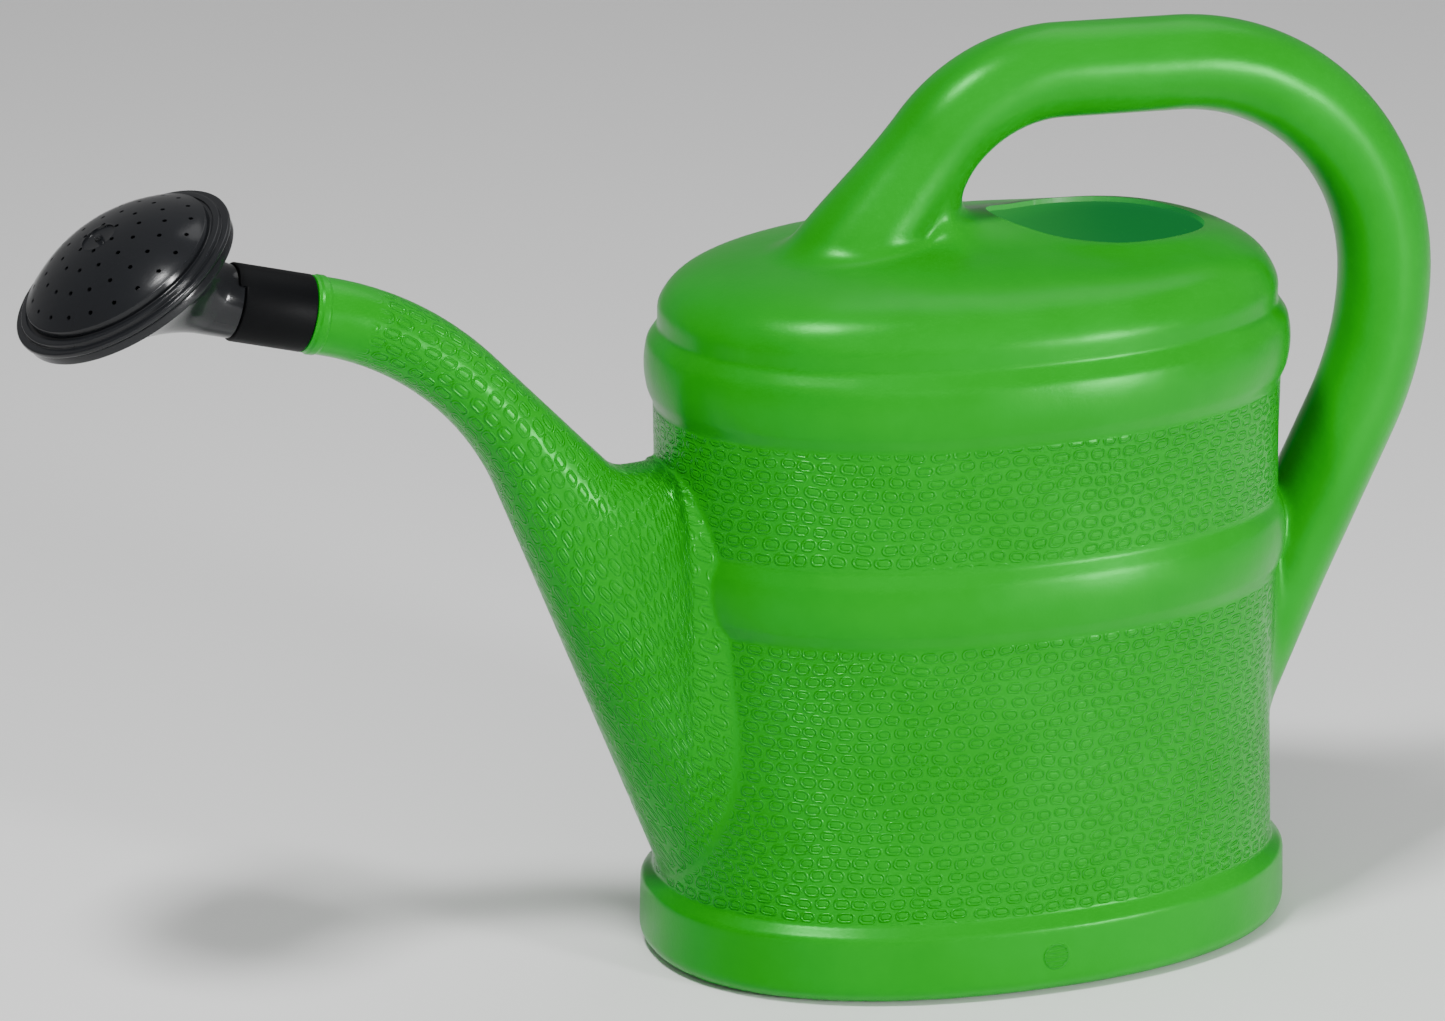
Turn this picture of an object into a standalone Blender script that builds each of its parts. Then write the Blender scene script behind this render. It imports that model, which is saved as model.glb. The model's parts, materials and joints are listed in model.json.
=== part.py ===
"""Blow-moulded garden watering can with a push-on sprinkler rose.

Metres, +Z up. The spout points along -X, the handle's bow along +X, and Y = 0 is the can's plane of
symmetry. The origin is at the middle of the whole object's footprint box, on the ground.
"""
from math import atan2, cos, pi, radians, sin, tan

import bmesh
import bpy
from mathutils import Matrix, Vector

# ---- tank: half-lengths along X, heights from the ground --------------------------------------
WALL = 0.0022                 # wall of the blow moulding
WALL_HALF = 0.1035            # half-length of the plain wall
WIDTH_DROP = 0.036            # half-width = half-length - WIDTH_DROP
WAIST = 0.0010                # the lower panel draws in by this much
SUPERELLIPSE = 2.18           # exponent of the plan section: 2 is an ellipse
BAND_PROUD = 0.0027           # how far the three bands stand out of the wall
BASE_PROUD = 0.0048           # the base band stands out further
BASE_BAND_TOP = 0.0245
FOOT_ROUND = 0.0060           # rounding of the bottom edge
FOOT_RIM = 0.0130             # width of the flat foot ring
BASE_RECESS = 0.0030          # the bottom inside the foot ring is pushed up
MID_BAND = (0.1185, 0.1435)   # bottom and top edge
TOP_BAND = (0.1835, 0.2080)   # bottom and top edge; the lid starts at its top edge
LID_INSET = 0.0015            # the lid's foot stands this far inside the plain wall
LID_HALF = WALL_HALF - LID_INSET
LID_STRAIGHT = 0.0060         # height of the lid's upright edge
LID_RISE = 0.0220             # height of the dome above the upright edge
TANK_SIDES = 40

# ---- fill mouth ---------------------------------------------------------------------------------
MOUTH_X = 0.0425              # centre of the opening
MOUTH_LENGTH = 0.073
MOUTH_WIDTH = 0.052
MOUTH_SIDES = 28

# ---- handle: a hollow tube in the plane Y = 0 ---------------------------------------------------
GRIP_RADIUS = 0.0152
HANDLE_TOP = 0.2838           # height of the grip's centreline
FRONT_ROOT_X = -0.0480        # where the centreline leaves the lid
FRONT_ROOT_SINK = 0.0120      # how deep the centreline starts under the lid's top
FRONT_RUN = 0.0529            # how far the front limb leans back on its way up to the grip
FRONT_BEND = 0.052
BOW_REACH = 0.0410            # the rear limb's centreline reaches this far past the plain wall
BOW_X = WALL_HALF + BOW_REACH
BOW_RADIUS = 0.0765           # from the grip round to the rear limb
REAR_RADIUS = 0.110           # from the rear limb round to its foot
REAR_SLOPE = radians(25.4)    # the foot runs in to the wall at this angle to the vertical
REAR_ROOT_SINK = 0.0155       # the centreline ends this far inside the wall
REAR_ROOT_X = WALL_HALF - REAR_ROOT_SINK
FRONT_FLARE = 1.45            # radius at the front root, as a multiple of the grip's
FLARE_LENGTH = 0.060          # the flare fades out over this length
REAR_FLARE = 1.08
HANDLE_SEGMENT = 0.0095       # spacing of the tube's rings

# ---- spout --------------------------------------------------------------------------------------
SPOUT_REACH = 0.1165          # from the plain wall to the shoulder, where the rose's sleeve stops
TIP_X = -(WALL_HALF + SPOUT_REACH)
TIP_Z = 0.2284
TIP_RISE = radians(14.4)      # the tip points up by this much
SHOULDER_RADIUS = 0.0122      # spout behind the sleeve
NIPPLE_RADIUS = 0.0103        # the end that the sleeve pushes over
NIPPLE_LENGTH = 0.0160
BEAD_PROUD = 0.0007           # small ring beside the sleeve
BEAD_WIDTH = 0.0030
ROOT_TOP = 0.1670             # height of the spout's upper edge at the wall
ROOT_FOOT = 0.0280            # height of its lower edge at the wall
ROOT_HALF_WIDTH = 0.0335
ROOT_BLUNT = 4.5              # exponent of the upper half of the root's section: 2 is an ellipse
UPPER_SLOPE = radians(46)     # climb of the upper edge
LOWER_SLOPE = radians(68)     # climb of the lower edge
NOTCH_REACH = 0.0155          # the upper edge runs level this far from the wall
NOTCH_BEND = 0.012
UPPER_BEND = 0.110
LOWER_BEND = 0.086
SPOUT_RINGS = 14
SPOUT_SIDES = 20

# ---- rose: sleeve, cup and face, on the axis of the spout's tip -------------------------------
GAP = 0.0003                  # running and seating clearance between pieces
SLEEVE_RADIUS = 0.0122
NECK_STEP = 0.0008            # the cup's neck is this much slimmer than the sleeve
SLEEVE_LENGTH = 0.0235
TAB_LENGTH = 0.0022           # tab that overhangs the cup's neck
TAB_CHORD = 0.0077            # the tab keeps what is above this height over the axis
NECK_WALL = 0.0015
SPIGOT_LENGTH = 0.0055        # the cup's end inside the sleeve
NECK_MITRE = radians(20)      # tilt of the line where the funnel meets the neck
NECK_END = 0.0305             # middle of that line, from the sleeve's open end
ROSE_TILT = radians(44)       # from the sleeve's axis to the rose's axis
ROSE_TURN = radians(-7.5)     # the cup is turned this far in the sleeve
RIM_ALONG = 0.0566            # the two axes cross here
RIM_RAISE = 0.0050            # from the crossing up to the middle of the face's rim
RIM_RADIUS = 0.0376           # outer edge of the face's flange
FLANGE = 0.0018               # thickness of that flange
CUP_RADIUS = 0.0366           # rim of the cup, under the flange
CUP_RIM = 0.0032              # height of the cup's rim
CUP_LEDGE = 0.0016            # the funnel starts this much inside the rim
FUNNEL_DEPTH = 0.0120         # the funnel draws in from its rim to its neck round this point:
FUNNEL_SHIFT = 0.0075         # so deep, so far towards the sleeve,
FUNNEL_RADIUS = 0.0145        # and so wide
CUP_WALL = 0.0016
SKIRT_WALL = 0.0014           # the face's ring that snaps into the cup, as deep as the cup's rim
STEP_RADIUS = 0.0352          # raised ring between the flange and the dome
STEP_TOP = 0.0042
DOME_RADIUS = 0.0328          # edge of the perforated dome
DOME_EDGE = 0.0062            # height of the dome's edge above the flange's middle
DOME_TOP = 0.0153
DISC_RADIUS = 0.0048          # sunk disc in the middle of the dome
DISC_SINK = 0.0004
FACE_WALL = 0.0014
HOLE_RADIUS = 0.00075
HOLE_RINGS = ((0.0066, 6), (0.0135, 12), (0.0210, 18), (0.0280, 21))
ROSE_SIDES = 32

GREEN = (0.045, 0.400, 0.042, 1.0)
BLACK = (0.022, 0.024, 0.026, 1.0)


def start():
    for ob in list(bpy.data.objects):
        bpy.data.objects.remove(ob, do_unlink=True)
    model = bpy.data.collections.new("watering_can")
    cutters = bpy.data.collections.new("cutters")
    bpy.context.scene.collection.children.link(model)
    bpy.context.scene.collection.children.link(cutters)
    return model, cutters


def plastic(name, colour, roughness):
    mat = bpy.data.materials.new(name)
    mat.use_nodes = True
    shader = mat.node_tree.nodes["Principled BSDF"]
    shader.inputs["Base Color"].default_value = colour
    shader.inputs["Roughness"].default_value = roughness
    shader.inputs["Metallic"].default_value = 0.0
    return mat


def add_object(name, bm, collection, material=None, cutter=False):
    bmesh.ops.recalc_face_normals(bm, faces=bm.faces)
    mesh = bpy.data.meshes.new(name)
    bm.to_mesh(mesh)
    bm.free()
    mesh.shade_smooth()
    mesh.set_sharp_from_angle(angle=radians(40))
    if material:
        mesh.materials.append(material)
    ob = bpy.data.objects.new(name, mesh)
    collection.objects.link(ob)
    if cutter:
        ob.hide_render = True
        ob.display_type = "WIRE"
    return ob


def loft(rings, closed=False):
    """Skin a list of rings with equal point counts: capped ends, or the last ring joined to the first."""
    bm = bmesh.new()
    rows = [[bm.verts.new(p) for p in ring] for ring in rings]
    if closed:
        rows.append(rows[0])
    for low, high in zip(rows, rows[1:]):
        count = len(low)
        for i in range(count):
            j = (i + 1) % count
            bm.faces.new((low[i], low[j], high[j], high[i]))
    if not closed:
        bm.faces.new(rows[0][::-1])
        bm.faces.new(rows[-1])
    return bm


def boolean(ob, other, operation):
    mod = ob.modifiers.new(operation.lower() + "_" + other.name, "BOOLEAN")
    mod.operation = operation
    mod.solver = "EXACT"
    mod.object = other


def bake(ob):
    """Apply the modifiers, so that the next Boolean works on the result."""
    mesh = bpy.data.meshes.new_from_object(ob.evaluated_get(bpy.context.evaluated_depsgraph_get()))
    ob.modifiers.clear()
    old = ob.data
    ob.data = mesh
    mesh.name = ob.name
    bpy.data.meshes.remove(old)


# ---- tank ---------------------------------------------------------------------------------------
def plan_ring(half_length, half_width, z):
    """A superellipse at height z."""
    ring = []
    power = 2.0 / SUPERELLIPSE
    for i in range(TANK_SIDES):
        c = cos(2 * pi * i / TANK_SIDES)
        s = sin(2 * pi * i / TANK_SIDES)
        x = half_length * (abs(c) ** power) * (1 if c >= 0 else -1)
        y = half_width * (abs(s) ** power) * (1 if s >= 0 else -1)
        ring.append(Vector((x, y, z)))
    return ring


def band(bottom, top, proud):
    """Outward offsets of one band: a quick rise at both edges round a flat crown."""
    edge = (top - bottom) * 0.12
    shoulder = (top - bottom) * 0.30
    return [(bottom, 0.0), (bottom + edge, proud * 0.6), (bottom + shoulder, proud),
            (top - shoulder, proud), (top - edge, proud * 0.7), (top, 0.0)]


def wall_profile():
    """Heights and half-lengths of the outer wall, from the foot to the lid's seam."""
    base = WALL_HALF + BASE_PROUD
    profile = [(0.0, base - FOOT_ROUND), (FOOT_ROUND * 0.3, base - FOOT_ROUND * 0.3),
               (FOOT_ROUND, base), (BASE_BAND_TOP - 0.0045, base - 0.0006),
               (BASE_BAND_TOP - 0.0010, WALL_HALF + 0.0022), (BASE_BAND_TOP, WALL_HALF + 0.0010)]
    panel = (BASE_BAND_TOP + MID_BAND[0]) / 2
    profile.append((panel, WALL_HALF - WAIST))
    profile += [(z, WALL_HALF + proud) for z, proud in band(*MID_BAND, BAND_PROUD)]
    profile.append(((MID_BAND[1] + TOP_BAND[0]) / 2, WALL_HALF - 0.0003))
    profile += [(z, WALL_HALF + proud) for z, proud in band(*TOP_BAND, BAND_PROUD)[:-1]]
    profile.append((TOP_BAND[1], LID_HALF))
    return profile


def lid_profile():
    """Scale of the lid's plan and its height, from the seam up to the middle."""
    foot = TOP_BAND[1] + LID_STRAIGHT
    shape = ((1.0, 0.0), (0.985, 0.15), (0.95, 0.31), (0.90, 0.45), (0.82, 0.59), (0.70, 0.71),
             (0.50, 0.85), (0.25, 0.97), (0.08, 1.0))
    return [(scale, foot + LID_RISE * rise) for scale, rise in shape]


def tank_rings(inset):
    """Rings of the tank's skin; inset moves it inwards by the wall."""
    rings = []
    lid_width = LID_HALF - WIDTH_DROP
    for z, half in wall_profile():
        half -= inset
        rings.append(plan_ring(half, half - WIDTH_DROP, max(z, inset + (BASE_RECESS if inset else 0.0))))
    for scale, z in lid_profile():
        rings.append(plan_ring(LID_HALF * scale - inset, lid_width * scale - inset * min(1.0, scale * 2),
                               z - inset))
    return rings


def tank_outside():
    rings = tank_rings(0.0)
    foot = WALL_HALF + BASE_PROUD - FOOT_ROUND - FOOT_RIM
    recess = [plan_ring(foot - BASE_RECESS, foot - BASE_RECESS - WIDTH_DROP, BASE_RECESS),
              plan_ring(foot, foot - WIDTH_DROP, 0.0)]
    return loft(recess + rings)


def tank_inside():
    """The hollow: rings that lie in the floor's thickness are dropped."""
    floor = WALL + BASE_RECESS
    rings = [r for r in tank_rings(WALL) if r[0].z > floor + 1e-6]
    half = WALL_HALF + BASE_PROUD - WALL
    start_ring = plan_ring(half - FOOT_ROUND * 0.3, half - FOOT_ROUND * 0.3 - WIDTH_DROP, floor)
    return loft([start_ring] + rings)


# ---- handle -------------------------------------------------------------------------------------
def arc(centre, radius, start_angle, end_angle, steps):
    """Points on a circle in the plane Y = 0, angles from +X towards +Z."""
    return [Vector((centre[0] + radius * cos(start_angle + (end_angle - start_angle) * i / steps), 0.0,
                    centre[1] + radius * sin(start_angle + (end_angle - start_angle) * i / steps)))
            for i in range(steps + 1)]


def handle_path():
    """Centreline from the lid, over the grip and down to the wall."""
    root_z = TOP_BAND[1] + LID_STRAIGHT + LID_RISE * 0.75 - FRONT_ROOT_SINK
    corner_x = FRONT_ROOT_X + FRONT_RUN
    slope = atan2(HANDLE_TOP - root_z, FRONT_RUN)
    tangent = FRONT_BEND * tan(slope / 2)
    bend = arc((corner_x + tangent, HANDLE_TOP - FRONT_BEND), FRONT_BEND,
               pi / 2 + slope, pi / 2, 5)
    bow = arc((BOW_X - BOW_RADIUS, HANDLE_TOP - BOW_RADIUS), BOW_RADIUS, pi / 2, 0.0, 11)
    rear = arc((BOW_X - REAR_RADIUS, HANDLE_TOP - BOW_RADIUS), REAR_RADIUS, 0.0, -REAR_SLOPE, 5)
    foot = rear[-1]
    run = (foot.x - REAR_ROOT_X) / sin(REAR_SLOPE)
    end = foot + Vector((-sin(REAR_SLOPE), 0.0, -cos(REAR_SLOPE))) * run
    corners = [Vector((FRONT_ROOT_X, 0.0, root_z))] + bend + bow + rear[1:] + [end]
    path = []
    for a, b in zip(corners, corners[1:]):
        steps = max(1, round((b - a).length / HANDLE_SEGMENT))
        path += [a.lerp(b, i / steps) for i in range(steps)]
    return path + [corners[-1]]


def smooth(t):
    t = min(1.0, max(0.0, t))
    return t * t * (3 - 2 * t)


def tube(name, radius, collection, lengthen=0.0):
    """A curve with a round bevel along the handle's path, made a mesh so that it can be joined."""
    path = handle_path()
    if lengthen:
        path[0] = path[0] + (path[0] - path[1]).normalized() * lengthen
        path[-1] = path[-1] + (path[-1] - path[-2]).normalized() * lengthen
    travelled = [0.0]
    for a, b in zip(path, path[1:]):
        travelled.append(travelled[-1] + (b - a).length)
    curve = bpy.data.curves.new(name + "_path", "CURVE")
    curve.dimensions = "3D"
    curve.twist_mode = "MINIMUM"
    curve.bevel_depth = radius
    curve.bevel_resolution = 4
    curve.use_fill_caps = True
    spline = curve.splines.new("POLY")
    spline.points.add(len(path) - 1)
    for point, place, run in zip(spline.points, path, travelled):
        flare = (FRONT_FLARE - 1) * (1 - smooth(run / FLARE_LENGTH))
        flare += (REAR_FLARE - 1) * (1 - smooth((travelled[-1] - run) / FLARE_LENGTH))
        point.co = (*place, 1.0)
        point.radius = 1.0 + flare
    guide = bpy.data.objects.new(name + "_path", curve)
    collection.objects.link(guide)
    bpy.context.view_layer.update()
    mesh = bpy.data.meshes.new_from_object(guide.evaluated_get(bpy.context.evaluated_depsgraph_get()))
    bm = bmesh.new()
    bm.from_mesh(mesh)
    bmesh.ops.remove_doubles(bm, verts=bm.verts, dist=0.00001)
    bpy.data.objects.remove(guide, do_unlink=True)
    bpy.data.meshes.remove(mesh)
    return add_object(name, bm, collection, cutter=True)


# ---- spout --------------------------------------------------------------------------------------
TIP = Vector((TIP_X, 0.0, TIP_Z))
TIP_AXIS = Vector((-cos(TIP_RISE), 0.0, sin(TIP_RISE)))
TIP_UP = Vector((sin(TIP_RISE), 0.0, cos(TIP_RISE)))


def rounded(corners):
    """Polyline through (point, bend radius) corners with its bends turned into arcs, finely stepped."""
    out = [corners[0][0]]
    for (a, _), (b, radius), (c, _) in zip(corners, corners[1:], corners[2:]):
        back = (a - b).normalized()
        ahead = (c - b).normalized()
        half = (pi - back.angle(ahead)) / 2
        reach = radius * tan(half)
        centre = b + (back + ahead).normalized() * (radius / cos(half))
        start_dir = (b + back * reach - centre).normalized()
        end_dir = (b + ahead * reach - centre).normalized()
        steps = 12
        for i in range(steps + 1):
            out.append(centre + start_dir.slerp(end_dir, i / steps) * radius)
    return out + [corners[-1][0]]


def along(points, fraction):
    """Point at a fraction of a polyline's length."""
    lengths = [(b - a).length for a, b in zip(points, points[1:])]
    left = fraction * sum(lengths)
    for a, b, run in zip(points, points[1:], lengths):
        if left <= run:
            return a.lerp(b, left / run)
        left -= run
    return points[-1].copy()


def crossing(p, p_angle, q, q_angle):
    """Where two lines in the plane Y = 0 meet; angles from -X towards +Z."""
    d = Vector((-cos(p_angle), 0.0, sin(p_angle)))
    e = Vector((-cos(q_angle), 0.0, sin(q_angle)))
    gap = q - p
    t = (gap.x * e.z - gap.z * e.x) / (d.x * e.z - d.z * e.x)
    return p + d * t


def spout_edges():
    """Upper and lower outline, from the wall to the shoulder behind the sleeve."""
    wall = -WALL_HALF
    notch = Vector((wall - NOTCH_REACH, 0.0, ROOT_TOP))
    lower = Vector((wall, 0.0, ROOT_FOOT))
    tip_top = TIP + TIP_UP * SHOULDER_RADIUS
    tip_low = TIP - TIP_UP * SHOULDER_RADIUS
    upper_corner = crossing(notch, UPPER_SLOPE, tip_top, TIP_RISE)
    lower_corner = crossing(lower, LOWER_SLOPE, tip_low, TIP_RISE)
    top = rounded([(Vector((wall, 0.0, ROOT_TOP)), 0), (notch, NOTCH_BEND),
                   (upper_corner, UPPER_BEND), (tip_top - TIP_AXIS * BEAD_WIDTH * 2, 0)])
    low = rounded([(lower, 0), (lower_corner, LOWER_BEND), (tip_low - TIP_AXIS * BEAD_WIDTH * 2, 0)])
    return top, low


def oval(centre, up, half_height, half_width, blunt=2.0):
    """An ellipse whose upper half can be blunter than its lower half."""
    ring = []
    for i in range(SPOUT_SIDES):
        c = cos(2 * pi * i / SPOUT_SIDES)
        s = sin(2 * pi * i / SPOUT_SIDES)
        if c > 0:
            c = c ** (2 / blunt)
            s = abs(s) ** (2 / blunt) * (1 if s >= 0 else -1)
        ring.append(centre + up * (half_height * c) + Vector((0.0, half_width * s, 0.0)))
    return ring


def tip_ring(along_axis, radius):
    return oval(TIP + TIP_AXIS * along_axis, TIP_UP, radius, radius)


def spout_rings(inset):
    """Ovals that stand between the two outlines, from inside the tank to the tip."""
    top, low = spout_edges()
    rings = []
    for i in range(SPOUT_RINGS + 1):
        u = i / SPOUT_RINGS
        high = along(top, u ** 2.6)
        foot = along(low, u)
        middle = (high + foot) / 2
        up = (high - foot).normalized()
        half = (high - foot).length / 2
        width = SHOULDER_RADIUS + (ROOT_HALF_WIDTH - SHOULDER_RADIUS) * (1 - u) ** 1.25
        blunt = 2 + (ROOT_BLUNT - 2) * (1 - u) ** 2
        rings.append(oval(middle, up, half - inset, width - inset, blunt))
    inside = [p + Vector((0.020, 0.0, 0.0)) for p in rings[0]]
    rings.insert(0, inside)
    return rings


def spout_outside():
    shoulder = SHOULDER_RADIUS
    bead = shoulder + BEAD_PROUD
    ends = [(-BEAD_WIDTH * 1.6, shoulder), (-BEAD_WIDTH * 1.35, bead), (-BEAD_WIDTH * 0.65, bead),
            (-BEAD_WIDTH * 0.4, shoulder), (-GAP, shoulder), (-GAP, NIPPLE_RADIUS),
            (NIPPLE_LENGTH - 0.0006, NIPPLE_RADIUS), (NIPPLE_LENGTH, NIPPLE_RADIUS - 0.0004)]
    return loft(spout_rings(0.0) + [tip_ring(s, r) for s, r in ends])


def spout_inside():
    bore = NIPPLE_RADIUS - WALL * 0.8
    return loft(spout_rings(WALL) + [tip_ring(-BEAD_WIDTH, bore), tip_ring(NIPPLE_LENGTH + WALL, bore)])


def mouth_cutter():
    """Upright prism of the fill opening: round at the rear, drawn to a blunt point at the front."""
    rings = []
    for z in (TOP_BAND[1], HANDLE_TOP - 2.2 * GRIP_RADIUS + 0.02):
        ring = []
        for i in range(MOUTH_SIDES):
            c = cos(2 * pi * i / MOUTH_SIDES)
            s = sin(2 * pi * i / MOUTH_SIDES)
            taper = 1.0 - 0.30 * max(0.0, -c) ** 1.5
            ring.append(Vector((MOUTH_X + MOUTH_LENGTH / 2 * c, MOUTH_WIDTH / 2 * s * taper, z)))
        rings.append(ring)
    return loft(rings)


def build_can(model, cutters):
    can = add_object("can_body", tank_outside(), model, plastic("green_moulding", GREEN, 0.42))
    handle = tube("handle_outside", GRIP_RADIUS, cutters)
    spout = add_object("spout_outside", spout_outside(), cutters, cutter=True)
    hollow = add_object("tank_hollow", tank_inside(), cutters, cutter=True)
    handle_bore = tube("handle_hollow", GRIP_RADIUS - WALL, cutters, lengthen=WALL)
    spout_bore = add_object("spout_hollow", spout_inside(), cutters, cutter=True)
    mouth = add_object("mouth_cutter", mouth_cutter(), cutters, cutter=True)
    boolean(can, handle, "UNION")
    boolean(can, spout, "UNION")
    bpy.context.view_layer.update()
    bake(can)
    boolean(can, hollow, "DIFFERENCE")
    boolean(can, handle_bore, "DIFFERENCE")
    boolean(can, spout_bore, "DIFFERENCE")
    boolean(can, mouth, "DIFFERENCE")
    return can


# ---- rose ---------------------------------------------------------------------------------------
def turned(name, profile, model, material, sides=ROSE_SIDES, closed=False):
    """Spin a profile of (radius, height) about Z with a Screw modifier."""
    bm = bmesh.new()
    verts = [bm.verts.new((r, 0.0, z)) for r, z in profile]
    pairs = list(zip(verts, verts[1:]))
    if closed:
        pairs.append((verts[-1], verts[0]))
    for a, b in pairs:
        bm.edges.new((a, b))
    ob = add_object(name, bm, model, material)
    screw = ob.modifiers.new("turn", "SCREW")
    screw.axis = "Z"
    screw.angle = 2 * pi
    screw.steps = sides
    screw.render_steps = sides
    screw.use_merge_vertices = True
    screw.merge_threshold = 0.00001
    screw.use_smooth_shade = True
    return ob


def build_sleeve(model, cutters, material):
    bore = NIPPLE_RADIUS + GAP
    tab_end = SLEEVE_LENGTH + TAB_LENGTH
    tab_inner = SLEEVE_RADIUS - NECK_STEP + GAP
    profile = [(SLEEVE_RADIUS, tab_end), (SLEEVE_RADIUS, 0.0006), (SLEEVE_RADIUS - 0.0005, 0.0),
               (bore, 0.0), (bore, SLEEVE_LENGTH - GAP), (tab_inner, SLEEVE_LENGTH - GAP),
               (tab_inner, tab_end)]
    sleeve = turned("rose_sleeve", profile, model, material, closed=True)
    bm = bmesh.new()
    side = SLEEVE_RADIUS * 3
    bmesh.ops.create_cube(bm, size=1.0)
    bmesh.ops.scale(bm, verts=bm.verts, vec=(side, side, TAB_LENGTH * 3))
    bmesh.ops.translate(bm, verts=bm.verts, vec=(TAB_CHORD - side / 2, 0.0, SLEEVE_LENGTH + TAB_LENGTH * 1.5))
    cutter = add_object("tab_cutter", bm, cutters, cutter=True)
    boolean(sleeve, cutter, "DIFFERENCE")
    return sleeve, cutter


def tilted_ring(centre, tilt, radius_x, radius_y):
    """Oval in the sleeve's frame (Z along the sleeve), leaning by tilt about Y."""
    side = Vector((cos(tilt), 0.0, -sin(tilt)))
    return [centre + side * (radius_x * cos(2 * pi * i / ROSE_SIDES))
            + Vector((0.0, radius_y * sin(2 * pi * i / ROSE_SIDES), 0.0)) for i in range(ROSE_SIDES)]


def rose_frame():
    """Middle of the face's rim, the rose's axis and the direction across it, in the sleeve's frame."""
    axis = Vector((sin(ROSE_TILT), 0.0, cos(ROSE_TILT)))
    across = Vector((cos(ROSE_TILT), 0.0, -sin(ROSE_TILT)))
    return Vector((0.0, 0.0, RIM_ALONG)) + axis * RIM_RAISE, axis, across


def funnel_rings(inset):
    """The funnel's skin from its rim to the mitred line on the neck."""
    rim, axis, across = rose_frame()
    rim_under = FLANGE / 2 + GAP + CUP_RIM
    start_radius = CUP_RADIUS - CUP_LEDGE - inset
    end_radius = SLEEVE_RADIUS - NECK_STEP - inset
    draw_radius = FUNNEL_RADIUS - inset
    start_centre = rim - axis * rim_under
    draw_centre = rim - axis * FUNNEL_DEPTH + across * FUNNEL_SHIFT
    end_centre = Vector((0.0, 0.0, NECK_END))
    rings = []
    steps = 6
    for i in range(steps + 1):
        t = i / steps
        w = ((1 - t) ** 2, 2 * t * (1 - t), t ** 2)
        centre = start_centre * w[0] + draw_centre * w[1] + end_centre * w[2]
        radius = start_radius * w[0] + draw_radius * w[1] + end_radius * w[2]
        tilt = ROSE_TILT + (NECK_MITRE - ROSE_TILT) * t
        stretch = 1 + (1 / cos(NECK_MITRE) - 1) * t ** 3
        rings.append(tilted_ring(centre, tilt, radius * stretch, radius))
    return rings


def build_cup(model, material):
    rim, axis, _ = rose_frame()
    neck = SLEEVE_RADIUS - NECK_STEP
    spigot = NIPPLE_RADIUS
    bore = spigot - NECK_WALL

    def rim_ring(depth, radius):
        return tilted_ring(rim - axis * depth, ROSE_TILT, radius, radius)

    def neck_ring(height, radius):
        return tilted_ring(Vector((0.0, 0.0, height)), 0.0, radius, radius)

    top = FLANGE / 2 + GAP
    inside = CUP_RADIUS - CUP_LEDGE - CUP_WALL
    outer = [rim_ring(top, CUP_RADIUS - 0.0004), rim_ring(top + 0.0005, CUP_RADIUS),
             rim_ring(top + CUP_RIM - 0.0005, CUP_RADIUS)]
    outer += funnel_rings(0.0)
    outer += [neck_ring(SLEEVE_LENGTH, neck), neck_ring(SLEEVE_LENGTH, spigot),
              neck_ring(SLEEVE_LENGTH - SPIGOT_LENGTH, spigot)]
    inner = [neck_ring(SLEEVE_LENGTH - SPIGOT_LENGTH, bore), neck_ring(SLEEVE_LENGTH, bore)]
    inner += funnel_rings(CUP_WALL)[::-1]
    inner += [rim_ring(top, inside)]
    return add_object("rose_cup", loft(outer + inner, closed=True), model, material)


def dome_arc(drop, edge_radius, steps):
    """Points of the dome's section from the middle to its edge; drop moves it inwards."""
    rise = DOME_TOP - DOME_EDGE
    ball = (DOME_RADIUS ** 2 + rise ** 2) / (2 * rise) - drop
    middle = DOME_TOP - drop - ball
    end = atan2(edge_radius, (ball ** 2 - edge_radius ** 2) ** 0.5)
    return [(ball * sin(end * i / steps), middle + ball * cos(end * i / steps)) for i in range(steps + 1)]


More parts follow.
